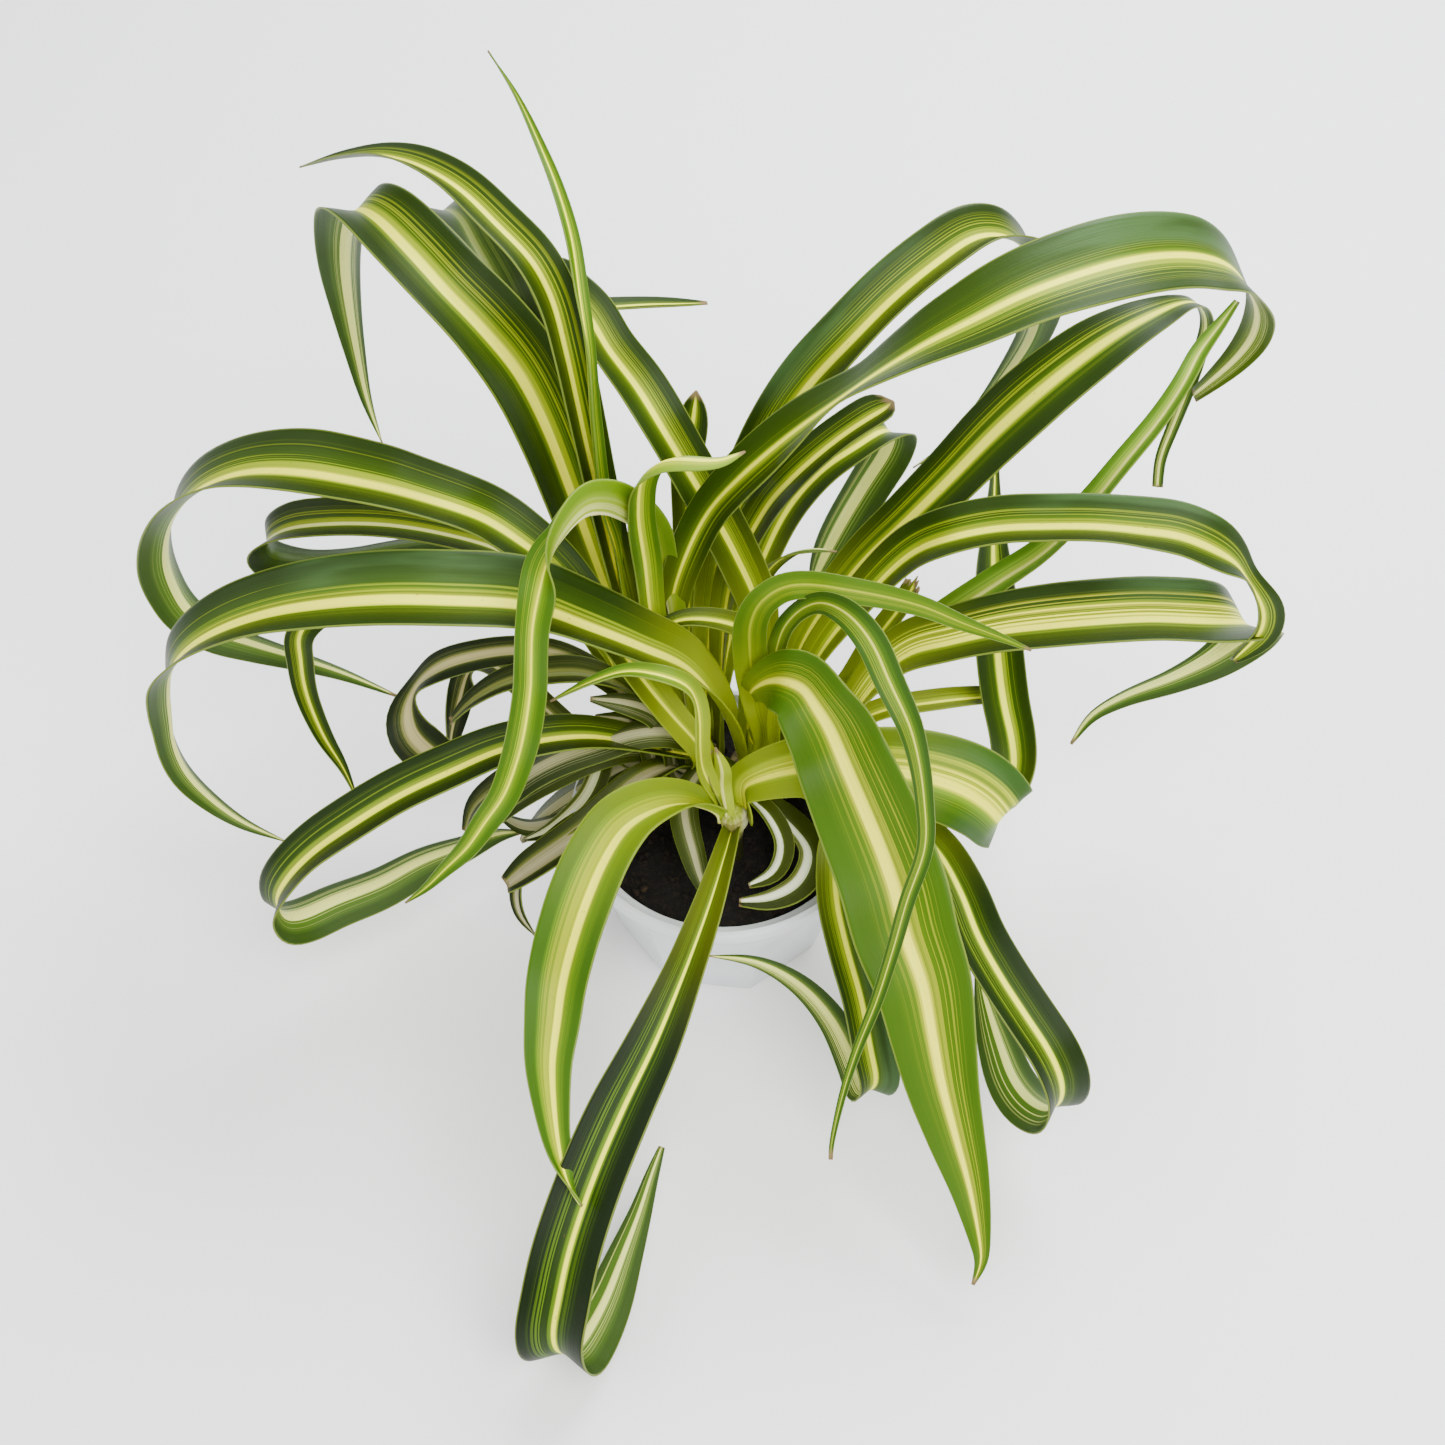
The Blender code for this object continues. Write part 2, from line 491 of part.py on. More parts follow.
    leaf("low_left", "a", (9.5, 227), 19.0, base=0.3, widest=0.55, taper=5.0, route=[
        (0, 6, 76), (-10, 3, 84), (-22, 1, 88), (-37, 1, 93), (-51, -2, 95), (-66, -7, 96), (-80, -13, 94),
        (-95, -18, 89), (-110, -24, 82), (-123, -28, 73), (-132, -32, 64), (-137, -34, 54),
        (-136, -35, 46), (-131, -31, 40), (-121, -24, 38), (-108, -17, 37), (-95, -9, 37), (-84, -3, 37)])


def plantlet_leaves():
    node_leaf("striped_right", 15, 74.0, 6.5, 29.0, base=0.22, widest=0.65, taper=1.6, route=[
        (13, -11, 90), (24, -14, 98), (37, -16, 104), (51, -18, 106), (65, -19, 104), (79, -18, 98),
        (87, -17, 91), (91, -16, 83), (88, -15, 75), (82, -15, 69), (75, -16, 65)])
    node_leaf("long_front", 262, 70.0, 6.6, 21.5, base=0.27, widest=0.66, taper=0.8, material=GROWN, route=[
        (1, -32, 80), (-4, -55, 85), (-11, -77, 84), (-19, -95, 77), (-28, -111, 68), (-36, -127, 58),
        (-42, -142, 48), (-45, -152, 39), (-47, -159, 29), (-46, -161, 19), (-42, -158, 11),
        (-38, -151, 9), (-33, -141, 10), (-29, -130, 12), (-24, -116, 15), (-21, -106, 17), (-18, -98, 20)])
    node_leaf("plantlet", 200, 74.0, 6.4, 22.0, base=0.27, widest=0.42, taper=1.8, route=[
        (-9, -23, 93), (-19, -32, 103), (-28, -41, 106), (-34, -50, 103), (-39, -60, 97), (-43, -69, 89),
        (-46, -78, 80), (-48, -88, 71), (-48, -98, 62), (-46, -107, 53), (-44, -117, 46), (-40, -126, 41)])
    node_leaf("plantlet_hook", 138, 76.0, 5.9, 7.0, base=0.6, widest=0.4, taper=1.6, route=[
        (-4, -11, 95), (-6, -15, 115), (-7, -19, 132), (-10, -22, 143), (-17, -21, 148), (-26, -19, 147),
        (-36, -17, 141), (-48, -17, 132)])
    node_leaf("sheath", 76, 76.0, 6.0, 6.0, base=0.6, widest=0.4, taper=3.0, route=[
        (4, -9, 92), (3, -7, 104), (1, -6, 115)])


def old_low_leaves():
    leaf("inner_left", "b", (12.0, 205), 16.0, base=0.22, widest=0.75, taper=5.0, material=AGED, route=[
        (-33, 17, 66), (-44, 21, 76), (-56, 28, 82), (-67, 32, 83), (-80, 34, 80), (-93, 35, 75),
        (-103, 35, 67), (-106, 32, 57), (-100, 27, 51), (-90, 22, 47)])
    leaf("small_loop", "b", (12.0, 229), 8.0, base=0.4, taper=3.0, material=AGED, route=[
        (-34, 9, 64), (-56, 19, 72), (-67, 25, 77), (-75, 29, 76), (-82, 31, 68), (-86, 32, 59),
        (-88, 29, 50)])
    leaf("pale_curl", "b", (12.0, 250), 4.5, base=0.8, taper=3.0, material=AGED, route=[
        (-28, 2, 60), (-42, 2, 63), (-50, 0, 61), (-55, -4, 52), (-61, -7, 45)])
    leaf("left_tail", "b", (12.0, 271), 6.0, base=0.65, taper=3.0, material=AGED, route=[
        (-22, -3, 60), (-42, -8, 62), (-56, -13, 52), (-64, -18, 43), (-64, -26, 36), (-58, -33, 32)])
    leaf("brown_left", "b", (12.0, 294), 9.0, base=0.45, taper=7.0, material=AGED, route=[
        (-14, 2, 65), (-30, -7, 66), (-46, -15, 62), (-58, -21, 54), (-69, -25, 46)])
    leaf("under_left", "b", (12.0, 318), 9.0, base=0.35, taper=3.0, material=AGED, route=[
        (-9, 7, 69), (-20, -4, 78), (-38, -9, 81), (-56, -10, 80), (-72, -11, 74), (-85, -9, 68)])
    leaf("over_soil", "b", (12.0, 348), 7.0, base=0.4, taper=3.0, material=AGED, route=[
        (1, 13, 60), (0, 1, 62), (-5, -14, 61), (-8, -29, 58)])
    leaf("inside_curl", "a", (12.0, 258), 7.0, base=0.6, taper=3.0, material=AGED, route=[
        (14, 1, 58), (22, -8, 59), (28, -20, 60), (24, -31, 59), (15, -36, 58), (5, -36, 57)])
    leaf("inside_ring", "a", (12.0, 236), 5.0, base=0.7, taper=3.0, material=AGED, route=[
        (9, 0, 62), (15, -10, 66), (19, -19, 63), (16, -27, 59), (8, -30, 57)])


make_pot()
make_soil()
for letter, crown_place in CROWN_PLACES.items():
    make_crown("crown_" + letter, crown_place)
make_stalk()
back_crown_leaves()
right_crown_leaves()
plantlet_leaves()
old_low_leaves()
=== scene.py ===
import math

import bpy
import numpy as np
from mathutils import Matrix, Vector, noise


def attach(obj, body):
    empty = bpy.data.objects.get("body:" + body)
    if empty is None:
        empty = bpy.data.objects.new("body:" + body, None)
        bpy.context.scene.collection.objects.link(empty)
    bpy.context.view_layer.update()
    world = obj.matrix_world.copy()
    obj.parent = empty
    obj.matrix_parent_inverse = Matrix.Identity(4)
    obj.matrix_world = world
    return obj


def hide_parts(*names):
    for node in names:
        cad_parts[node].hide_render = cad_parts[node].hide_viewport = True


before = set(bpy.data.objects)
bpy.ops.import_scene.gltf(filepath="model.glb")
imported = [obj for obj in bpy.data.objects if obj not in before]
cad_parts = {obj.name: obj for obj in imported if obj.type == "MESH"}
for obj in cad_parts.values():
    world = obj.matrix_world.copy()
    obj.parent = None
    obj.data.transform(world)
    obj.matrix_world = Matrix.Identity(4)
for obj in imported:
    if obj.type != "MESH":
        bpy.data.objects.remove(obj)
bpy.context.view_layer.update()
mm = 0.001
print("frame loaded,", len(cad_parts), "nodes")


# camera, floor and light

viewpoint = {"place": (0.0, -0.346, 0.542), "pitch": 38.0, "lens": 47.34, "sensor": 36.0}
bpy.ops.object.camera_add(location=viewpoint["place"], rotation=(math.radians(viewpoint["pitch"]), 0, 0))
camera = bpy.context.object
camera.name = "photoCamera"
camera.data.lens = viewpoint["lens"]
camera.data.sensor_width = viewpoint["sensor"]
camera.data.clip_start = 0.01
camera.data.dof.use_dof = False
bpy.context.scene.camera = camera


class Wire:
    # a node's output that takes part in ordinary arithmetic
    def __init__(self, board, socket):
        self.board = board
        self.socket = socket

    def sum(self, kind, *values):
        return self.board.add("ShaderNodeMath", {"operation": kind}, dict(enumerate(values)))

    def __add__(self, other):
        return self.sum("ADD", self, other)

    def __sub__(self, other):
        return self.sum("SUBTRACT", self, other)

    def __rsub__(self, other):
        return self.sum("SUBTRACT", other, self)

    def __mul__(self, other):
        return self.sum("MULTIPLY", self, other)

    def __abs__(self):
        return self.sum("ABSOLUTE", self)

    __radd__ = __add__
    __rmul__ = __mul__

    def between(self, low, high):
        # 0 below low, 1 above high, smooth in between
        return self.board.add("ShaderNodeMapRange", {"interpolation_type": "SMOOTHSTEP"},
                              {0: self, 1: low, 2: high, 3: 0.0, 4: 1.0})


class Board:
    # one material and what is wired to its Principled shader
    def __init__(self, name, **fixed):
        self.material = bpy.data.materials.new(name)
        self.material.use_nodes = True
        self.nodes = self.material.node_tree.nodes
        self.links = self.material.node_tree.links
        self.shader = self.nodes["Principled BSDF"]
        for socket, value in fixed.items():
            self.shader.inputs[socket.replace("_", " ")].default_value = value

    def add(self, kind, settings=None, sockets=None, out=0):
        made = self.nodes.new(kind)
        for key, value in (settings or {}).items():
            if key == "stops":
                self.setStops(made.color_ramp, value)
            else:
                setattr(made, key, value)
        for key, value in (sockets or {}).items():
            self.feed(made.inputs[key], value)
        return Wire(self, made.outputs[out])

    def setStops(self, ramp, stops):
        while len(ramp.elements) > 1:
            ramp.elements.remove(ramp.elements[-1])
        for k, (place, colour) in enumerate(stops):
            stop = ramp.elements[0] if k == 0 else ramp.elements.new(place)
            stop.position = place
            stop.color = (*colour, 1.0)

    def feed(self, socket, value):
        if isinstance(value, Wire):
            self.links.new(value.socket, socket)
        else:
            socket.default_value = value

    def paint(self, **sockets):
        for socket, value in sockets.items():
            self.feed(self.shader.inputs[socket.replace("_", " ")], value)

    def attribute(self, name):
        return self.add("ShaderNodeAttribute", {"attribute_name": name}, out=2)

    def place(self):
        return self.add("ShaderNodeTexCoord", out=3)

    def vector(self, x, y, z):
        return self.add("ShaderNodeCombineXYZ", sockets={0: x, 1: y, 2: z})

    def grain(self, where, scale=1.0, detail=2.0, rough=0.5):
        return self.add("ShaderNodeTexNoise", sockets={"Vector": where, "Scale": scale, "Detail": detail,
                                                       "Roughness": rough})

    def blend(self, share, one, two, kind="MIX"):
        return self.add("ShaderNodeMix", {"data_type": "RGBA", "blend_type": kind},
                        {0: share, 6: one, 7: two}, out=2)

    def ramp(self, share, stops):
        return self.add("ShaderNodeValToRGB", {"stops": stops}, {0: share})

    def bump(self, height, strength, distance):
        return self.add("ShaderNodeBump", sockets={"Height": height, "Strength": strength, "Distance": distance})


def tone(code):
    # a screen colour such as "5D720A" as linear light
    values = [int(code[k:k + 2], 16) / 255 for k in (0, 2, 4)]
    return tuple(v / 12.92 if v <= 0.04045 else ((v + 0.055) / 1.055) ** 2.4 for v in values)


def solid(code):
    return (*tone(code), 1.0)


ground = {"size": 6.0, "place": (0, 0.5, 0), "tints": ("F6F6F4", "FAFAFA"), "cloud": 3.0}
floorBoard = Board("paleFloor", Roughness=0.6)
cloud = floorBoard.grain(floorBoard.place(), ground["cloud"])
floorBoard.paint(Base_Color=floorBoard.blend(cloud, *[solid(tint) for tint in ground["tints"]]))
bpy.ops.mesh.primitive_plane_add(size=ground["size"], location=ground["place"])
floor = bpy.context.object
floor.name = "floor"
floor.data.materials.append(floorBoard.material)

plantMiddle = (0, 0, 0.1)
lamps = {
    "windowLight": {"place": (0.40, 0.80, 1.05), "size": 0.8, "power": 34.0, "tint": (0.93, 0.97, 1.0)},
    "frontLight": {"place": (0.35, -0.75, 1.15), "size": 1.1, "power": 36.0, "tint": (1.0, 0.99, 0.96)},
    "leftLight": {"place": (-1.0, -0.1, 0.8), "size": 1.0, "power": 8.0, "tint": (0.97, 0.99, 1.0)},
}
for name, lamp in lamps.items():
    aim = (Vector(plantMiddle) - Vector(lamp["place"])).to_track_quat("-Z", "Y").to_euler()
    bpy.ops.object.light_add(type="AREA", location=lamp["place"], rotation=aim)
    light = bpy.context.object
    light.name = name
    light.data.size = lamp["size"]
    light.data.energy = lamp["power"]
    light.data.color = lamp["tint"]
roomLight = {"Color": (0.95, 0.98, 1.0, 1.0), "Strength": 0.6}
room = bpy.data.worlds.new("room")
room.use_nodes = True
for socket, value in roomLight.items():
    room.node_tree.nodes["Background"].inputs[socket].default_value = value
bpy.context.scene.world = room
print("camera, floor and light")


def pickNone():
    bpy.ops.object.select_all(action="DESELECT")


def finishPiece(piece, name, materials, node, smooth=None):
    # applied, smoothed, named, painted and tied to its node
    pickNone()
    piece.select_set(True)
    bpy.context.view_layer.objects.active = piece
    bpy.ops.object.transform_apply(location=True, rotation=True, scale=True)
    if smooth is None:
        bpy.ops.object.shade_smooth()
    else:
        bpy.ops.object.shade_smooth_by_angle(angle=math.radians(smooth))
    piece.name = name
    piece.data.name = name
    if not piece.data.materials:
        for material in materials:
            piece.data.materials.append(material)
    if node:
        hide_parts(node)
    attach(piece, "root")
    return piece


def applyModifier(piece, name, kind, **settings):
    bpy.context.view_layer.objects.active = piece
    modifier = piece.modifiers.new(name, kind)
    for key, value in settings.items():
        setattr(modifier, key, value)
    bpy.ops.object.modifier_apply(modifier=modifier.name)


def raiseRings(rows, corners):
    # a disc drawn up through rings of (radius, height), left open for more edits
    pickNone()
    bpy.ops.mesh.primitive_circle_add(vertices=corners, radius=rows[0][0] * mm, fill_type="NGON",
                                      location=(0, 0, rows[0][1] * mm))
    piece = bpy.context.object
    bpy.ops.object.transform_apply(location=True)
    bpy.ops.object.mode_set(mode="EDIT")
    bpy.ops.mesh.select_all(action="SELECT")
    for (r0, z0), (r1, z1) in zip(rows, rows[1:]):
        bpy.ops.mesh.extrude_region_move(TRANSFORM_OT_translate={"value": (0, 0, (z1 - z0) * mm)})
        bpy.ops.transform.resize(value=(r1 / r0, r1 / r0, 1.0), center_override=(0, 0, 0))
    return piece


def closeRings():
    bpy.ops.mesh.select_all(action="SELECT")
    bpy.ops.mesh.normals_make_consistent(inside=False)
    bpy.ops.object.mode_set(mode="OBJECT")


# pot: one moulding with a round rim, a recessed neck and a wall that turns into eight flats

potMould = {"height": 56.0, "rimRadius": 47.5, "rimBand": 4.5, "rimWall": 2.2, "neckRadius": 43.2,
            "neckHeight": 4.5, "bodyTop": 45.0, "bodyFoot": 34.0, "wall": 1.6, "floor": 2.0,
            "sides": 240, "flats": 8, "turn": -75.0, "flatShare": 0.92, "wallRows": 12, "wallTop": 0.6,
            "fade": 12.0, "fadeTop": 1.5, "edge": 0.5, "tints": ("DCDFE6", "C8CBD0")}


def potRows():
    p = potMould
    under = p["height"] - p["rimBand"]
    shoulder = under - p["neckHeight"]
    inner = p["rimRadius"] - p["rimWall"]
    neckInner = p["neckRadius"] - p["wall"]
    footInner = p["bodyFoot"] * math.cos(math.pi / p["flats"]) - p["wall"]
    rows = [(p["bodyFoot"], 0.0)]
    for k in range(p["wallRows"]):
        share = (k + 1) / p["wallRows"]
        rows.append((p["bodyFoot"] + (p["bodyTop"] - p["bodyFoot"]) * share, (shoulder - p["wallTop"]) * share))
    rows += [(p["bodyTop"] - 1.0, shoulder), (p["neckRadius"], shoulder + 0.4), (p["neckRadius"], under),
             (p["rimRadius"], under), (p["rimRadius"], p["height"]), (inner, p["height"]),
             (inner, under + 2.0), (neckInner, under + 1.0), (neckInner, shoulder - 1.0), (footInner, p["floor"])]
    return rows, shoulder


def flatShape(angle, share):
    span = 2 * math.pi / potMould["flats"]
    offset = (angle - math.radians(potMould["turn"])) % span - span / 2
    return 1 + share * (math.cos(span / 2) / math.cos(offset) - 1)


def makePot():
    p = potMould
    rows, shoulder = potRows()
    pot = raiseRings(rows, p["sides"])
    closeRings()

    # the outer wall flattens towards its foot
    for vert in pot.data.vertices:
        x, y, z = vert.co / mm
        radius = math.hypot(x, y)
        wallRadius = p["bodyFoot"] + (p["bodyTop"] - p["bodyFoot"]) * min(1.0, z / (shoulder - p["wallTop"]))
        if z < shoulder - 0.1 and abs(radius - wallRadius) < 0.2:
            share = p["flatShare"] * min(1.0, (shoulder + p["fadeTop"] - z) / p["fade"])
            vert.co.x *= flatShape(math.atan2(y, x), share)
            vert.co.y *= flatShape(math.atan2(y, x), share)
    applyModifier(pot, "roundedEdges", "BEVEL", width=p["edge"] * mm, segments=3, limit_method="ANGLE",
                  angle_limit=math.radians(35))
    board = Board("mouldedPlastic", IOR=1.46, Roughness=0.34)
    place = board.place()
    cloud = board.grain(place, 55.0, 3.0)
    fine = board.grain(place, 900.0, 2.0)
    colour = board.blend(cloud.between(0.35, 0.75) * 0.35, *[solid(tint) for tint in p["tints"]])
    board.paint(Base_Color=colour, Roughness=0.30 + cloud * 0.14, Normal=board.bump(fine + cloud * 2.0, 0.12, 0.0002))
    return finishPiece(pot, "potShell", [board.material], "pot", smooth=28)


makePot()
print("pot")


# soil with loose crumbs

soilBed = {"top": 48.0, "shoulder": 42.5, "radius": 41.2, "foot": 2.4, "footRadius": 29.4, "sides": 120,
           "rings": 41, "bumps": 0.8, "crumbs": 260, "crumbSize": (0.35, 1.15), "seed": 4}
# near-black soil: the potting mix's own dark brown, darkened further as painted shade of the deep pot interior
soilAndShadeTints = [(0.0, "020101"), (0.5, "0B0806"), (0.66, "1E1610"), (0.8, "3A2C1E")]
crumbTints = [(0.3, "050302"), (0.6, "1A120B"), (0.75, "453320")]


def tones(stops):
    return [(place, tone(code)) for place, code in stops]


def soilHeight(x, y):
    rough = noise.noise(Vector((x / 11, y / 11, 1.0))) * 0.7 + noise.noise(Vector((x / 4, y / 4, 5.0))) * 0.5
    return soilBed["top"] + soilBed["bumps"] * (rough + 0.35 * noise.noise(Vector((x / 1.6, y / 1.6, 9.0))))


def makeSoil():
    bed = soilBed
    soil = raiseRings([(bed["footRadius"], bed["foot"]), (bed["radius"], bed["shoulder"]), (bed["radius"], bed["top"])],
                      bed["sides"])
    for _ in range(bed["rings"] - 2):
        bpy.ops.mesh.inset(thickness=bed["radius"] / bed["rings"] * mm, depth=0)
    closeRings()
    for vert in soil.data.vertices:
        x, y, z = vert.co / mm
        if z > bed["top"] - 0.5:
            vert.co.z = soilHeight(x, y) * mm
    board = Board("pottingMix", Roughness=0.95, IOR=1.35)
    place = board.place()
    bits = board.grain(place, 420.0, 4.0, 0.7)
    damp = board.grain(place, 70.0)
    board.paint(Base_Color=board.ramp(bits, tones(soilAndShadeTints)), Roughness=0.75 + damp * 0.3,
                Normal=board.bump(bits, 0.9, 0.0012))
    finishPiece(soil, "soilBed", [board.material], "soil")

    # one crumb, copied about with its own size and turn
    pickNone()
    bpy.ops.mesh.primitive_ico_sphere_add(subdivisions=2, radius=1.0)
    model = bpy.context.object
    points = np.array([v.co * (1 + 0.45 * noise.noise(v.co * 1.7)) for v in model.data.vertices])
    faces = [tuple(f.vertices) for f in model.data.polygons]
    dice = np.random.default_rng(bed["seed"])
    allPoints, allFaces = [], []
    for k in range(bed["crumbs"]):
        far = math.sqrt(dice.uniform(0, 1)) * (bed["radius"] - 1.5)
        turn = dice.uniform(0, 2 * math.pi)
        x, y = far * math.cos(turn), far * math.sin(turn)
        size = dice.uniform(*bed["crumbSize"])
        spin = np.array(Matrix.Rotation(dice.uniform(0, 6), 3, Vector(dice.normal(size=3))))
        stretch = np.diag(dice.uniform(0.6, 1.3, 3) * size)
        allFaces += [tuple(i + len(points) * k for i in f) for f in faces]
        allPoints.append(points @ (stretch @ spin) + (x, y, soilHeight(x, y) + size * 0.25))
    model.data.clear_geometry()
    model.data.from_pydata((np.concatenate(allPoints) * mm).tolist(), [], allFaces)
    board = Board("crumb", Roughness=0.9, IOR=1.35)
    place = board.place()
    board.paint(Base_Color=board.ramp(board.grain(place, 160.0, 3.0), tones(crumbTints)),
                Normal=board.bump(board.grain(place, 1500.0), 0.5, 0.0003))
    finishPiece(model, "soilCrumbs", [board.material], None)


makeSoil()
print("soil")


# root crowns under the leaf bases

crowns = {"rightCrown": (14.0, 20.0), "leftCrown": (-12.5, 23.0)}
crownShape = {"radius": 12.6, "squash": 0.32, "height": 47.9, "lumps": 1.1}
crownTints = [(0.3, "3A2E18"), (0.55, "7A6A3C"), (0.75, "A39A62")]


def makeCrown(name, node):
    place = crowns[name]
    pickNone()
    bpy.ops.mesh.primitive_uv_sphere_add(segments=64, ring_count=32, radius=crownShape["radius"] * mm)
    crown = bpy.context.object
    for vert in crown.data.vertices:
        lump = noise.noise(vert.co * 260 + Vector(place).to_3d()) * 0.5 + noise.noise(vert.co * 700) * 0.25
        out = vert.co.normalized()
        vert.co.z = vert.co.z * crownShape["squash"]
        vert.co += out * lump * crownShape["lumps"] * mm
        vert.co += Vector((*place, crownShape["height"])) * mm
    board = Board(name + "Root", Roughness=0.7)
    where = board.place()
    fibres = board.grain(where, 320.0, 3.0)
    board.paint(Base_Color=board.ramp(fibres, tones(crownTints)), Normal=board.bump(fibres, 0.7, 0.0008))
    return finishPiece(crown, name, [board.material], node)


makeCrown("rightCrown", "crown_a")
makeCrown("leftCrown", "crown_b")


# plantlet stalk and its swollen node

stalkShape = {"foot": (4.0, -12.0), "lean": (-1.0, -6.0), "leanFrom": 50.0, "leanOver": 32.0, "radius": 2.8,
              "nodeRadius": 4.3, "top": 81.0, "low": 46.0, "budPlace": (5.6, -16.2, 74.5), "budSize": (1.5, 1.5, 3.4)}
stalkGreens = [(0.3, "6E8216"), (0.55, "8F9A26"), (0.75, "B4B85A")]
stalkTans = [(0.3, "8C8A3C"), (0.55, "A8A458"), (0.8, "C4BE84")]


def makeStalk():
    s = stalkShape
    rows = [(s["radius"] * 0.8, s["low"]), (s["radius"], s["low"] + 1.5), (s["radius"] * 1.02, 50.0),
            (s["radius"] * 0.92, 56.0), (s["radius"] * 0.95, s["top"] - 19), (s["radius"] * 1.05, s["top"] - 15),
            (s["nodeRadius"] * 0.84, s["top"] - 13), (s["nodeRadius"] * 0.98, s["top"] - 11),
            (s["nodeRadius"], s["top"] - 8.5), (s["nodeRadius"] * 0.93, s["top"] - 5.5),
            (s["nodeRadius"] * 0.95, s["top"] - 4.6), (s["nodeRadius"] * 0.80, s["top"] - 3),
            (s["nodeRadius"] * 0.55, s["top"] - 1), (s["nodeRadius"] * 0.25, s["top"])]
    stalk = raiseRings(rows, 48)
    closeRings()
    applyModifier(stalk, "round", "SUBSURF", levels=2, render_levels=2)
    for vert in stalk.data.vertices:
        x, y, z = vert.co / mm
        share = max(0.0, (z - s["leanFrom"]) / s["leanOver"])
        swell = 1 + 0.07 * math.sin(3 * math.atan2(y, x) + z * 0.1)
        vert.co.x = (x * swell + s["foot"][0] + s["lean"][0] * share) * mm
        vert.co.y = (y * swell + s["foot"][1] + s["lean"][1] * share) * mm

    # a pale root bud on the node
    bpy.ops.mesh.primitive_uv_sphere_add(segments=24, ring_count=16, radius=mm, location=Vector(s["budPlace"]) * mm,
                                         scale=s["budSize"])
    bud = bpy.context.object
    bpy.ops.object.transform_apply(location=True, scale=True)
    for vert in bud.data.vertices:
        vert.co += vert.normal * noise.noise(vert.co * 500) * 0.3 * mm
    stalk.select_set(True)
    bpy.context.view_layer.objects.active = stalk
    bpy.ops.object.join()
    board = Board("stalkFlesh", Roughness=0.42, IOR=1.42, Specular_IOR_Level=0.35)
    where = board.place()
    x, y, z = [board.add("ShaderNodeSeparateXYZ", sockets={0: where}, out=k) for k in range(3)]
    lines = board.grain(board.vector(x * 1500.0, y * 1500.0, z * 60.0), detail=2.0)
    green, tan = board.ramp(lines, tones(stalkGreens)), board.ramp(lines, tones(stalkTans))
    colour = board.blend(z.between(0.079, 0.076), green, tan)
    colour = board.blend(x.between(0.0056, 0.0066), colour, solid("B4B286"))
    # painted shade: the stalk darkens below about 60 mm, down under the leaves towards the soil
    colour = board.blend(1.0 - z.between(0.060, 0.067), colour, solid("2A2C10"))

    # brown scars ring the node
    ring = abs(z - 0.0764 + (lines - 0.5) * 0.0015)
    lowRing = abs(z - 0.0672 + (lines - 0.5) * 0.002)
    scar = 1.0 - ring.between(0.0001, 0.0006) * lowRing.between(0.0002, 0.0008)
    patch = board.grain(where, 260.0, 3.0).between(0.45, 0.60)
    colour = board.blend(scar * patch * 0.9, colour, solid("4E3E16"))
    board.paint(Base_Color=colour, Normal=board.bump(lines + scar * 0.6, 0.4, 0.0004))
    return finishPiece(stalk, "plantletStalk", [board.material], "plantlet_stalk")


makeStalk()
print("crowns and stalk")


# leaf finishes: colours from the margins to the pale middle

grownSkin = {"kind": "grown", "edge": "203206", "green": "304606", "bright": "4A6606", "band": "8C9C0A",
             "cream": "F2F038", "underEdge": "2E4412", "underGreen": "446218", "underCream": "DADE78",
             "stripe": 0.0, "lines": 1, "creamHalf": 0.12, "bandHalf": 0.24, "streaks": 0.20, "dry": 2.0, "glow": 0.5,
             "creamLines": 0.0, "bloom": None}  # painted sheen on the crests: from and to along the leaf in mm, and on which side
youngSkin = {**grownSkin, "kind": "young", "edge": "3C5E06", "green": "4E7606", "bright": "70900A", "band": "A6B208",
             "cream": "F2F034", "underEdge": "5A8014", "underGreen": "84A01C", "underCream": "E8E880", "glow": 0.8}
# old leaves deep inside: dark colours that are partly their own age and partly painted shade of the dense interior
agedAndShadedSkin = {**grownSkin, "kind": "aged", "edge": "18220A", "green": "243010", "bright": "3A4614", "band": "707238",
            "cream": "BDB27C", "underEdge": "222E12", "underGreen": "303C1A", "underCream": "A8A47C", "dry": 5.0,
            "glow": 0.1}


faceTones = {"Upper": ("edge", "green", "bright", "band", "cream"),
             "Under": ("underEdge", "underGreen", "underGreen", "underCream", "underCream")}
# the blue-green tint is a painted sheen, the lamps' reflection on the leaf crests
# the bright yellow-green tint near the leaf feet is partly young growth colour and partly painted glow
leafTints = {"rim": "84943A", "sheenTint": "4C6C3E", "youngGlow": "9AA812", "speck": "5C4A1C", "dry": "7C6A48"}


def leafSkin(name, leaf, seed):
    look = {key: leaf.get(key, value) for key, value in leaf["skin"].items()}
    return [leafFace(name + "Upper", look, seed, faceTones["Upper"]),
            leafFace(name + "Under", look, seed + 9.0, faceTones["Under"])]


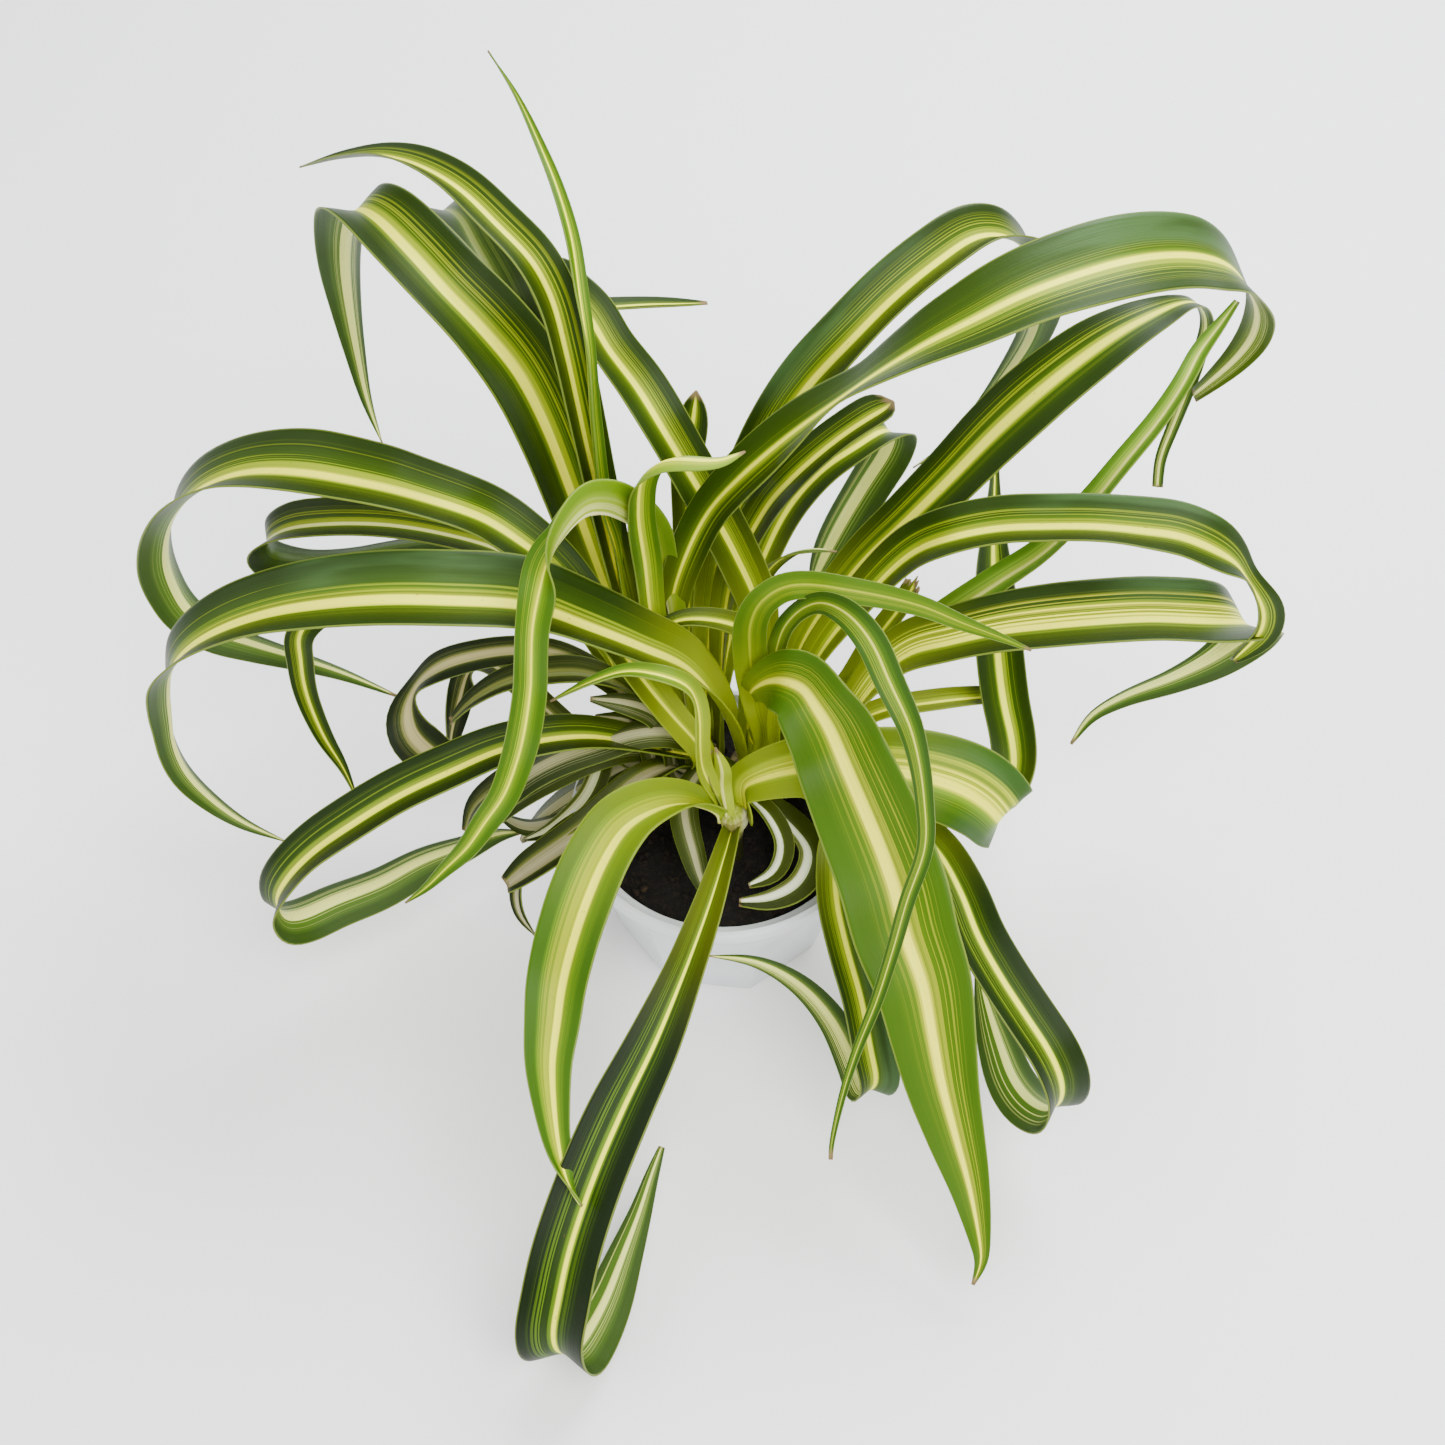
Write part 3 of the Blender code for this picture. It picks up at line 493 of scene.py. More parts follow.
def leafFace(name, look, seed, keys):
    board = Board(name, IOR=1.4, Specular_IOR_Level=0.16)
    across, along, fromTip = [board.attribute(key) for key in ("across", "along", "fromTip")]
    rim, sheenTint, youngGlow, speck, dry = [solid(tint) for tint in leafTints.values()]
    drift = board.grain(board.vector(along * 0.012, seed, 0.0)) - 0.5
    offset = (across - look["stripe"]) * look["lines"] + drift * 0.12

    # streaks carry each band a little into the next, as veins do
    streak = board.grain(board.vector(across * 7.0, along * 0.004, seed), detail=2.0) - 0.5
    fine = board.grain(board.vector(across * 24.0, along * 0.006, seed + 3.0), detail=1.0) - 0.5
    place = (offset + streak * look["streaks"] * abs(offset) * 2.5 + fine * 0.10) * 0.5 + 0.5
    edge, green, bright, band, cream = [tone(look[k]) for k in keys]
    pale = look["creamHalf"] / 2
    side = max(look["bandHalf"] / 2, pale + 0.03)
    colour = board.ramp(place, [
        (0.0, edge), (0.16, edge), (min(0.35, 0.42 - pale), green), (0.46 - pale, bright), (0.48 - pale, band),
        (0.51 - pale, cream), (0.49 + pale, cream), (0.515 + pale, band), (0.5 + side, band), (0.53 + side, bright),
        (max(0.70, 0.56 + side), green), (0.86, edge), (1.0, edge)])

    # thin light and dark lines on the streaked side
    lineNoise = board.grain(board.vector(across * 30.0, along * 0.003, seed + 17.0), detail=0.0)
    zone = offset.between(0.10, 0.20) * (1.0 - offset.between(0.42, 0.80))
    otherZone = (0.0 - offset).between(0.10, 0.2) * (1.0 - (0.0 - offset).between(0.2, 0.6)) * 0.5
    light = lineNoise.between(0.56, 0.62) * (zone + otherZone) * 0.75
    colour = board.blend(light, colour, (*band, 1.0))
    if look["creamLines"] and keys == faceTones["Upper"]:
        wide = board.grain(board.vector(across * 11.0, along * 0.002, seed + 21.0), detail=0.0)
        colour = board.blend(wide.between(0.54, 0.60) * offset.between(0.05, 0.1)
                             * (1.0 - offset.between(0.5, 0.7)) * look["creamLines"], colour, (*cream, 1.0))
    dark = (1.0 - lineNoise.between(0.36, 0.42)) * zone * 0.6
    colour = board.blend(dark, colour, (*green, 1.0))

    # fine parallel veins and slow changes along the leaf
    veins = board.grain(board.vector(across * 46.0, along * 0.02, seed + 5.0), detail=1.5)
    shade = board.grain(board.vector(across * 1.3, along * 0.03, seed + 7.0))
    level = 0.74 + veins * 0.26 + shade * 0.26
    colour = board.blend(1.0, colour, board.vector(level, level, level), "MULTIPLY")
    colour = board.blend(abs(across).between(0.955, 0.985) * 0.55, colour, rim)

    # painted blue-green sheen on the crests, the lamps' reflection laid into the colour
    if look["bloom"]:
        start, stop, wing = look["bloom"]
        sheenPatch = board.grain(board.vector(across * 2.0, along * 0.02, seed + 23.0)).between(0.35, 0.6)
        crest = along.between(start, start + 25.0) * (1.0 - along.between(stop - 25.0, stop))
        colour = board.blend(crest * (offset * wing).between(0.2, 0.5) * (0.12 + sheenPatch * 0.42), colour, sheenTint)

    # yellow-green near the foot, partly young growth and partly painted glow of light through the heart; dry tip and
    # small brown specks
    foot = (1.0 - along.between(25.0, 95.0)) * look["glow"]
    colour = board.blend(foot * (1.0 - (1.0 - abs(offset).between(0.1, 0.2)) * 0.8), colour, youngGlow)
    specks = board.grain(board.vector(across * 20.0, along * 0.5, seed + 11.0), detail=2.0)
    spotted = specks.between(0.70, 0.75) * (1.0 - abs(offset).between(0.22, 0.36)) * 0.6
    colour = board.blend(spotted, colour, speck)
    ragged = board.grain(board.vector(across * 6.0, along * 0.3, seed + 13.0)) * 5.0
    dryness = 1.0 - (fromTip - ragged + 2.5).between(look["dry"] * 0.6, look["dry"] * 1.8)
    colour = board.blend(dryness, colour, dry)
    grainBump = board.grain(board.vector(across * 12.0, along * 0.9, seed + 15.0), detail=2.0)
    board.paint(Base_Color=colour, Roughness=0.36 + veins * 0.12 + dryness * 0.3,
                Normal=board.bump(veins + grainBump * 0.35, 0.3, 0.00025))
    return board.material


# leaves

blade = {"thick": 0.5, "start": 52.1, "root": 1.5, "tip": 0.5, "step": 2.0, "columns": 20, "finePerPoint": 12,
         "levelling": 0.12, "gutter": 0.2, "tornFrom": 0.85}
# what a leaf doesn't say of itself: widths in mm, folds and twists in degrees, places as shares of its length
plainLeaf = {"base": 0.4, "widest": 0.5, "taper": 2.2, "fold": 24.0, "sheathFold": 38.0, "sheathShare": 0.22,
             "droop": 0.06, "waves": 0.5, "torn": 0.0}


def smoothRoute(points):
    # centripetal Catmull-Rom curve through the leaf's own points
    first = points[0] * 2 - points[1]
    last = points[-1] * 2 - points[-2]
    knots = [first, *points, last]
    curve = []
    for p0, p1, p2, p3 in zip(knots, knots[1:], knots[2:], knots[3:]):
        t1 = math.sqrt((p1 - p0).length)
        t2 = t1 + math.sqrt((p2 - p1).length)
        t3 = t2 + math.sqrt((p3 - p2).length)
        for k in range(blade["finePerPoint"]):
            t = t1 + (t2 - t1) * k / blade["finePerPoint"]
            a1 = p0.lerp(p1, t / t1)
            a2 = p1.lerp(p2, (t - t1) / (t2 - t1))
            a3 = p2.lerp(p3, (t - t2) / (t3 - t2))
            b1 = a1.lerp(a2, t / t2)
            b2 = a2.lerp(a3, (t - t1) / (t3 - t1))
            curve.append(b1.lerp(b2, (t - t1) / (t2 - t1)))
    curve.append(points[-1].copy())
    return curve


def sideVectors(curve, heading):
    # the blade's side at each point, kept level wherever the blade allows it
    tangents = [(b - a).normalized() for a, b in zip([curve[0], *curve[:-1]], [*curve[1:], curve[-1]])]
    side = tangents[0].cross(-heading)
    sides = []
    for tangent in tangents:
        side = (side - tangent * side.dot(tangent)).normalized()
        level = tangent.cross(Vector((0, 0, 1)))
        if level.length > 0.05:
            share = blade["levelling"] * level.length_squared
            level.normalize()
            if level.dot(side) < 0:
                level.negate()
            side = side.lerp(level, share)
            side = (side - tangent * side.dot(tangent)).normalized()
        sides.append(side.copy())
    return sides


def footOf(leaf):
    # foot: what carries the leaf, how far from its middle, in which direction and, on the node, how high
    carrier, ring, direction = leaf["foot"][:3]
    heading = Vector((math.cos(math.radians(direction)), math.sin(math.radians(direction)), 0))
    if carrier == "node":
        height = leaf["foot"][3]
        share = (height - stalkShape["leanFrom"]) / stalkShape["leanOver"]
        middle = [p + lean * share for p, lean in zip(stalkShape["foot"], stalkShape["lean"])]
    else:
        height = blade["start"]
        middle = crowns[carrier]
    return Vector((middle[0] + ring * heading.x, middle[1] + ring * heading.y, height)), heading


def evened(values, passes):
    # irons out the small unevenness between given points, ends kept
    for _ in range(passes):
        values[1:-1] = values[:-2] * 0.25 + values[1:-1] * 0.5 + values[2:] * 0.25
    return values


def unit(vectors):
    return vectors / np.linalg.norm(vectors, axis=1, keepdims=True)


def widthAlong(share, leaf):
    if "widths" in leaf:
        places, sizes = zip(*leaf["widths"])
        return np.maximum(blade["tip"], evened(np.interp(share, places, sizes), 14))
    base, widest, taper = leaf["base"], leaf["widest"], leaf["taper"]
    rise = np.clip(share / widest, 0, 1)
    fall = np.clip((share - widest) / (1 - widest), 0, 1)
    grown = leaf["wide"] * (base + (1 - base) * rise * (2 - rise))
    return np.where(share < widest, grown, np.maximum(blade["tip"], leaf["wide"] * (1 - fall ** taper)))


def leafForm(leaf):
    # the blade's middle line, its frame and its half width, one row per station
    foot, heading = footOf(leaf)
    points = [foot - Vector((0, 0, blade["root"])), foot + Vector((0, 0, 3)), *[Vector(p) for p in leaf["route"]]]
    curve = smoothRoute(points)
    sides = np.array(sideVectors(curve, heading))
    fine = np.array(curve)
    run = np.concatenate(([0], np.cumsum(np.linalg.norm(np.diff(fine, axis=0), axis=1))))
    length = run[-1]
    rows = max(24, round(length / blade["step"]))
    stations = np.linspace(0, 1, rows + 1) * length
    middle = evened(np.stack([np.interp(stations, run, fine[:, k]) for k in range(3)], axis=1), 2)
    sideways = unit(evened(np.stack([np.interp(stations, run, sides[:, k]) for k in range(3)], axis=1), 6))
    forward = unit(np.gradient(middle, axis=0))
    sideways = unit(sideways - forward * np.sum(sideways * forward, axis=1, keepdims=True))
    up = np.cross(sideways, forward)
    share = stations / length
    if "twist" in leaf:
        places, turns = zip(*leaf["twist"])
        angle = np.radians(evened(np.interp(share, places, turns), 8))[:, None]
        sideways, up = (sideways * np.cos(angle) + up * np.sin(angle), up * np.cos(angle) - sideways * np.sin(angle))
    fold = np.interp(share, *zip(*leaf["folds"])) if "folds" in leaf else leaf["fold"]
    closing = np.clip(1 - share / leaf["sheathShare"], 0, 1)
    bend = np.radians(fold + (leaf["sheathFold"] - fold) * closing)
    return middle, sideways, forward, up, widthAlong(share, leaf) / 2, bend, stations


def growLeaf(name, ownLeaf):
    leaf = {**plainLeaf, **ownLeaf}
    middle, sideways, forward, up, half, bend, stations = leafForm(leaf)
    rows, columns, length = len(stations) - 1, blade["columns"], stations[-1]
    bpy.ops.mesh.primitive_grid_add(x_subdivisions=rows, y_subdivisions=columns, size=1.0)
    piece = bpy.context.object
    mesh = piece.data

    # each grid point goes to its place across the blade
    seed = sum(ord(c) for c in name) * 0.37
    count = len(mesh.vertices)
    flat = np.empty(count * 3)
    mesh.vertices.foreach_get("co", flat)
    flat = flat.reshape(-1, 3)
    row = np.rint((flat[:, 0] + 0.5) * rows).astype(int)
    across = -2 * flat[:, 1]
    soft = blade["gutter"]
    gutter = (np.sqrt(across ** 2 + soft ** 2) - soft) / (math.sqrt(1 + soft ** 2) - soft)
    droop = leaf["droop"] * np.clip(np.abs(across) - 0.55, 0, 1) ** 2 * 5
    wave, jag = np.zeros(count), np.zeros(count)
    for k in range(count):
        share = stations[row[k]] / length
        if abs(across[k]) > 0.3:
            spot = Vector((stations[row[k]] * 0.028 + seed, math.copysign(3.0, across[k]) + seed, seed))
            wave[k] = noise.noise(spot) * leaf["waves"] * (abs(across[k]) - 0.3) * min(1.0, share * 4)
        if leaf["torn"] and share > blade["tornFrom"]:
            ragged = noise.noise(Vector((across[k] * 3.5, seed, 0))) * leaf["torn"]
            jag[k] = ragged * (share - blade["tornFrom"]) / (1 - blade["tornFrom"])
    h = half[row]
    place = (middle[row] + sideways[row] * (h * np.cos(bend[row]) * across)[:, None] + forward[row] * jag[:, None]
             + up[row] * (h * np.sin(bend[row]) * (gutter - 0.5 - droop) + wave * np.minimum(1.0, h / 6))[:, None])
    mesh.vertices.foreach_set("co", (place * mm).ravel())
    for key, values in (("across", across), ("along", stations[row]), ("fromTip", length - stations[row])):
        mesh.attributes.new(key, "FLOAT", "POINT").data.foreach_set("value", values.astype(np.float32))
    mesh.update()
    for face in leafSkin(name, leaf, seed):
        mesh.materials.append(face)
    pickNone()
    piece.select_set(True)
    applyModifier(piece, "thickness", "SOLIDIFY", thickness=blade["thick"] * mm, offset=0.0, material_offset=1,
                  material_offset_rim=0, use_even_offset=True)
    node = "leaf_" + name if "leaf_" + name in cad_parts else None  # the small leaves deep inside have no solid
    return finishPiece(piece, "blade_" + name, [], node)


spear = {"foot": ("leftCrown", 5.5, 190), "wide": 10, "widest": 0.3, "taper": 1.1, "fold": 30, "skin": youngSkin,
    "route": [(-22, 26, 86), (-29, 39, 110), (-31, 42, 130), (-34, 40, 150), (-35, 39, 182), (-35, 39, 208),
        (-37, 47, 220), (-39, 57, 230), (-43, 70, 236), (-49, 88, 238), (-57, 113, 236), (-67, 140, 232)]}
growLeaf("spear", spear)

backArch = {"foot": ("leftCrown", 7, 132), "wide": 15, "base": 0.43, "widest": 0.6, "taper": 2, "fold": 34,
    "skin": grownSkin,
    "route": [(-25, 32, 90), (-30, 40, 113), (-35, 44, 148), (-37, 43, 168), (-39, 44, 186), (-41, 45, 203),
        (-44, 49, 217), (-49, 53, 227), (-59, 63, 232), (-70, 78, 232), (-83, 95, 227), (-97, 112, 218),
        (-112, 127, 206), (-128, 141, 192)]}
growLeaf("back_arch", backArch)

backFold = {"foot": ("leftCrown", 10, 128), "wide": 28, "base": 0.23, "widest": 0.45, "taper": 1.7, "skin": grownSkin,
    "glow": 0.9,
    "route": [(-30, 46, 83), (-38, 54, 110), (-44, 58, 136), (-50, 62, 159), (-57, 64, 179), (-66, 66, 194),
        (-76, 71, 204), (-86, 81, 209), (-98, 97, 209), (-107, 110, 202), (-113, 119, 187), (-117, 125, 169),
        (-119, 129, 149), (-119, 128, 131), (-117, 122, 115), (-112, 112, 104)]}
growLeaf("back_fold", backFold)

# painted shade: this leaf's colours, cream stripe included, are darkened to stand in for the shade it lies in
backLow = {"foot": ("leftCrown", 12, 106), "wide": 16, "base": 0.41, "widest": 0.6, "skin": grownSkin, "glow": 0.8,
    "edge": "22300E", "green": "2C3C10", "bright": "344612", "band": "46561C", "cream": "6A7434",
    "route": [(-24, 48, 76), (-34, 60, 100), (-43, 66, 130), (-50, 71, 158), (-56, 73, 181), (-62, 79, 196),
        (-70, 94, 200), (-77, 112, 197), (-84, 127, 188), (-90, 141, 172), (-94, 146, 157), (-97, 145, 144)]}
growLeaf("back_low", backLow)

highLeft = {"foot": ("leftCrown", 9, 290), "widths": ((0, 6), (0.1, 10), (0.22, 13), (0.32, 20), (0.42, 26),
    (0.5, 28), (0.6, 26.4), (0.75, 20.6), (0.85, 14), (0.95, 5.3), (1, 1)), "twist": ((0, 180), (1, 180)),
    "skin": grownSkin, "glow": 0.8,
    "route": [(-6, 5, 78), (-15, 9, 91), (-23, 12, 104), (-31, 17, 116), (-40, 23, 128), (-48, 27, 138),
        (-56, 29, 146), (-65, 32, 152), (-72, 31, 158), (-82, 31, 163), (-91, 31, 167), (-104, 34, 168),
        (-117, 38, 167), (-129, 43, 163), (-140, 48, 157), (-151, 52, 149), (-160, 55, 140), (-168, 58, 128),
        (-174, 61, 114), (-177, 62, 102), (-177, 62, 90), (-174, 60, 81), (-166, 57, 74), (-154, 56, 68),
        (-139, 55, 62), (-125, 53, 57), (-108, 48, 52)]}
growLeaf("high_left", highLeft)

darkLeft = {"foot": ("leftCrown", 12, 154), "widths": ((0, 6), (0.15, 11), (0.4, 17), (0.58, 19.5), (0.66, 17),
    (0.74, 12), (0.85, 11), (0.95, 9), (1, 4)), "skin": grownSkin, "edge": "1C2806", "green": "2A3A08",
    "bright": "3C500C", "band": "74800E", "cream": "BCBC6C", "creamHalf": 0.08, "underEdge": "1E2C0A",
    "underGreen": "26380C", "underCream": "34460E", "dry": 0.4,
    "route": [(-35, 40, 76), (-51, 55, 97), (-68, 64, 105), (-89, 70, 108), (-108, 73, 109), (-128, 75, 107),
        (-142, 78, 101), (-150, 80, 92), (-149, 81, 84), (-138, 83, 79), (-123, 87, 77), (-108, 92, 76),
        (-92, 95, 75), (-75, 92, 74), (-61, 85, 73)]}
growLeaf("dark_left", darkLeft)

smallRound = {"foot": ("leftCrown", 12, 84), "wide": 11, "widest": 0.8, "taper": 5, "skin": grownSkin,
    "route": [(-11, 61, 80), (-11, 76, 106), (-11, 83, 126), (-9, 86, 140), (-8, 89, 149)]}
growLeaf("small_round", smallRound)

frontCurl = {"foot": ("leftCrown", 6, 285), "widths": ((0, 5), (0.12, 9), (0.25, 15), (0.35, 20), (0.45, 22),
    (0.52, 18), (0.58, 12), (0.63, 9.5), (0.75, 10.5), (0.86, 8), (0.95, 3.5), (1, 0.6)), "folds": ((0, 40),
    (0.28, 46), (0.48, 50), (0.6, 20), (1, 20)), "twist": ((0, 80), (0.28, 66), (0.36, 40), (0.43, 4), (0.5, -59),
    (0.54, -66), (0.6, 25), (0.66, 29), (0.78, 21), (0.9, 32), (1, 44)), "skin": youngSkin, "underEdge": "5A7A08",
    "underGreen": "8CA020", "underCream": "ECECA0", "glow": 0.5, "creamHalf": 0.05, "bandHalf": 0.14,
    "edge": "3A5C04", "green": "4A7004",
    "route": [(-10, 25, 72), (-12, 33, 84), (-14, 41, 94), (-16, 47, 106), (-19, 46, 124), (-22, 39, 143),
        (-27, 29, 160), (-33, 20, 172), (-39, 10, 179), (-43, 3, 179), (-47, -2, 174), (-49, -7, 165),
        (-51, -12, 156), (-52, -15, 146), (-53, -17, 135), (-55, -23, 125), (-58, -26, 114), (-62, -31, 105),
        (-68, -33, 95), (-74, -36, 86), (-81, -37, 77), (-88, -38, 68), (-95, -38, 60)]}
growLeaf("front_curl", frontCurl)

youngHook = {"foot": ("leftCrown", 1.5, 130), "widths": ((0, 4), (0.2, 8), (0.5, 11), (0.8, 10), (0.9, 7), (1, 0.6)),
    "twist": ((0, 0), (1, 0)), "skin": youngSkin, "underEdge": "6C8A10", "underGreen": "98A818",
    "underCream": "E8E840",
    "route": [(-17, 29, 82), (-21, 32, 109), (-22, 32, 131), (-23, 26, 161), (-20, 19, 182), (-14, 18, 188),
        (-8, 17, 189), (-1, 18, 188), (6, 24, 186)]}
growLeaf("young_hook", youngHook)

rightArch = {"foot": ("leftCrown", 7, 40), "widths": ((0, 5), (0.16, 11), (0.22, 11.5), (0.3, 13), (0.4, 20),
    (0.5, 26), (0.6, 28), (0.7, 26.5), (0.78, 23), (0.85, 17), (0.92, 12), (1, 5)), "fold": 12, "twist": ((0.2, 0),
    (0.46, 180), (0.6, 180), (0.7, 165), (0.78, 150), (0.84, 160), (0.93, 180)), "skin": grownSkin,
    "underEdge": "3A4E0C", "underGreen": "4E680E", "underCream": "E6E68C", "dry": 0.3, "bloom": (225, 335, -1),
    "creamHalf": 0.08, "bandHalf": 0.2, "edge": "263A06",
    "route": [(-9, 34, 70), (-17, 42, 83), (-16, 44, 100), (-12, 43, 121), (-5, 42, 143), (4, 37, 163), (15, 34, 180),
        (26, 31, 195), (38, 29, 209), (50, 28, 220), (63, 30, 227), (76, 35, 231), (89, 41, 232), (103, 48, 231),
        (117, 57, 226), (130, 66, 218), (140, 73, 209), (148, 79, 197), (154, 83, 185), (155, 85, 174),
        (152, 86, 164), (147, 86, 156), (143, 87, 149)]}
growLeaf("right_arch", rightArch)

backRight = {"foot": ("leftCrown", 11.5, 57), "wide": 22, "base": 0.3, "taper": 2, "fold": 33, "skin": grownSkin,
    "lines": -1, "underEdge": "2C4414", "underGreen": "3E5C1C", "underCream": "BCC070", "bloom": (110, 200, 1),
    "route": [(-5, 47, 77), (-3, 61, 90), (0, 70, 103), (7, 76, 121), (15, 75, 145), (24, 73, 166), (35, 71, 185),
        (47, 77, 196), (60, 86, 202), (72, 95, 204), (83, 102, 199), (92, 109, 187), (98, 116, 170), (100, 123, 153),
        (99, 127, 137), (94, 128, 122), (86, 124, 110), (75, 117, 100), (64, 114, 92)]}
growLeaf("back_right", backRight)

midRight = {"foot": ("leftCrown", 12, 8), "wide": 14, "base": 0.46, "widest": 0.85, "taper": 9, "skin": grownSkin,
    "lines": -1,
    "route": [(-1, 38, 78), (2, 54, 102), (11, 64, 120), (20, 59, 142), (31, 61, 154), (41, 64, 161), (50, 69, 163)]}
growLeaf("mid_right", midRight)

stripedFold = {"foot": ("leftCrown", 12.3, 32), "wide": 17, "base": 0.38, "widest": 0.8, "taper": 4,
    "skin": grownSkin, "lines": -1,
    "route": [(2, 57, 70), (10, 71, 84), (20, 83, 103), (31, 87, 118), (42, 90, 126), (50, 95, 128), (55, 101, 122),
        (54, 102, 112), (47, 97, 100), (40, 90, 90), (34, 82, 82), (29, 74, 76)]}
growLeaf("striped_fold", stripedFold)

underCurl = {"foot": ("leftCrown", 12, 183), "widths": ((0, 4), (0.4, 8), (0.62, 9), (0.7, 10), (0.8, 8.5), (0.9, 6),
    (1, 1)), "twist": ((0.5, 0), (0.66, 70)), "skin": grownSkin,
    "route": [(-23, 23, 62), (-30, 30, 76), (-38, 40, 88), (-49, 47, 97), (-63, 48, 103), (-84, 48, 100),
        (-114, 46, 103), (-131, 40, 94), (-133, 38, 82), (-133, 35, 69), (-129, 29, 55), (-124, 25, 43),
        (-121, 21, 33)]}
growLeaf("under_curl", underCurl)

tallLeft = {"foot": ("rightCrown", 8.5, 118), "widths": ((0, 6), (0.2, 15), (0.42, 18), (0.65, 16), (0.8, 12),
    (0.9, 8), (0.97, 5), (1, 1.5)), "skin": grownSkin,
    "route": [(12, 40, 80), (11, 46, 99), (5, 51, 115), (-2, 55, 130), (-10, 59, 146), (-17, 62, 160), (-24, 69, 169),
        (-32, 73, 180), (-38, 79, 188), (-45, 84, 192), (-51, 94, 190), (-59, 106, 180), (-64, 116, 168),
        (-63, 123, 156), (-55, 129, 148), (-39, 137, 142), (-24, 143, 138), (-5, 148, 134)]}
growLeaf("tall_left", tallLeft)

bigLeft = {"foot": ("rightCrown", 7.5, 190), "wide": 31, "base": 0.21, "widest": 0.4, "taper": 2, "skin": grownSkin,
    "glow": 0.9, "bloom": (110, 200, 1), "edge": "1E3006", "green": "2E4408", "bright": "48640A",
    "route": [(2, 17, 84), (-8, 15, 107), (-21, 10, 123), (-37, 7, 137), (-53, 5, 148), (-77, 1, 155), (-95, 1, 155),
        (-111, 2, 152), (-127, 4, 146), (-142, 5, 138), (-154, 6, 128), (-162, 7, 117), (-166, 8, 104), (-168, 8, 92),
        (-169, 6, 80), (-167, 4, 68), (-161, 2, 57), (-152, -1, 49), (-138, -4, 42)]}
growLeaf("big_left", bigLeft)

heartHook = {"foot": ("rightCrown", 3, 200), "widths": ((0, 6), (0.15, 8.5), (0.3, 10.5), (0.42, 10.5), (0.5, 9.5),
    (0.6, 8), (0.72, 7.3), (0.85, 5), (1, 0.8)), "fold": 16, "twist": ((0, 100), (0.3, 105), (0.43, 119), (0.5, 143),
    (0.56, 153), (0.64, 146), (0.75, 137), (1, 130)), "skin": youngSkin, "cream": "A0AC18", "creamHalf": 0.06,
    "bandHalf": 0.12, "glow": 1, "edge": "446404", "green": "507004", "bright": "587604", "band": "7C8C08",
    "route": [(13, 18, 68), (11, 16, 84), (9, 14, 102), (8, 10, 120), (8, 5, 138), (11, 1, 152), (17, -1, 160),
        (24, -3, 163), (34, -5, 163), (45, -5, 160), (55, -5, 156), (65, -6, 151), (76, -5, 144), (86, -4, 137)]}
growLeaf("heart_hook", heartHook)

heartThread = {"foot": ("rightCrown", 4.5, 330), "widths": ((0, 4), (0.2, 6), (0.33, 5.5), (0.4, 6), (0.46, 8),
    (0.5, 8.5), (0.54, 7.5), (0.6, 5.5), (0.66, 4.8), (0.75, 4.3), (0.85, 3.6), (0.93, 2.4), (1, 1.2)), "fold": 12,
    "twist": ((0, -100), (0.28, -95), (0.35, -75), (0.43, -42), (0.5, -20), (0.64, -31), (0.78, -18), (1, 0)),
    "skin": youngSkin, "edge": "2C4A0C", "green": "3C5E0E", "bright": "486C10", "band": "94A018", "cream": "C8CC58",
    "creamHalf": 0.05, "bandHalf": 0.1, "glow": 1,
    "route": [(16, 16, 72), (16, 14, 92), (15, 10, 112), (16, 7, 128), (18, 1, 143), (22, -5, 156), (27, -14, 168),
        (33, -25, 175), (38, -35, 176), (42, -44, 172), (47, -52, 165), (50, -56, 155), (52, -60, 144),
        (53, -66, 131), (49, -73, 116), (46, -79, 101), (42, -87, 87), (37, -95, 74), (33, -104, 63), (30, -115, 54),
        (30, -117, 52)]}
growLeaf("heart_thread", heartThread)

bigFront = {"foot": ("rightCrown", 7, 300), "widths": ((0, 5), (0.1, 6), (0.2, 7), (0.25, 10.5), (0.29, 15),
    (0.34, 20.5), (0.42, 27), (0.5, 30), (0.6, 31), (0.68, 28), (0.76, 23), (0.85, 16), (0.92, 9), (0.97, 4), (1, 1)),
    "fold": 14, "sheathFold": 24, "sheathShare": 0.3, "twist": ((0, -150), (0.14, -130), (0.21, -108), (0.27, -76),
    (0.33, -46), (0.4, -34), (0.5, -22), (0.64, -16), (1, -16)), "skin": youngSkin, "lines": -1, "bandHalf": 0.2,
    "edge": "3A5A04", "green": "446404", "creamHalf": 0.11, "bright": "587404", "band": "98A010", "cream": "F2EE3C",
    "route": [(9, 23, 60), (8, 23, 72), (8, 19, 86), (9, 10, 102), (13, 1, 117), (17, -6, 126), (22, -10, 128),
        (25, -15, 127), (30, -19, 120), (34, -24, 112), (47, -56, 99), (51, -67, 89), (56, -77, 79), (59, -87, 68),
        (62, -97, 57), (66, -107, 46), (70, -117, 36), (73, -128, 26), (74, -133, 19), (72, -137, 12)]}
growLeaf("big_front", bigFront)

rightDrop = {"foot": ("rightCrown", 12, 308), "widths": ((0, 5), (0.2, 12), (0.4, 16.5), (0.6, 17.5), (0.8, 18.5),
    (0.9, 14), (1, 2)), "skin": grownSkin, "creamHalf": 0.09, "edge": "182806", "green": "263A08", "bright": "3A520A",
    "band": "748A14", "bandHalf": 0.15,
    "route": [(35, -3, 66), (53, -17, 75), (63, -32, 80), (69, -47, 80), (73, -60, 78), (79, -71, 74), (86, -81, 69),
        (93, -90, 63), (97, -95, 55), (98, -97, 46), (96, -96, 37), (91, -89, 30), (87, -80, 27), (84, -68, 27),
        (81, -55, 29), (79, -44, 31)]}
growLeaf("right_drop", rightDrop)

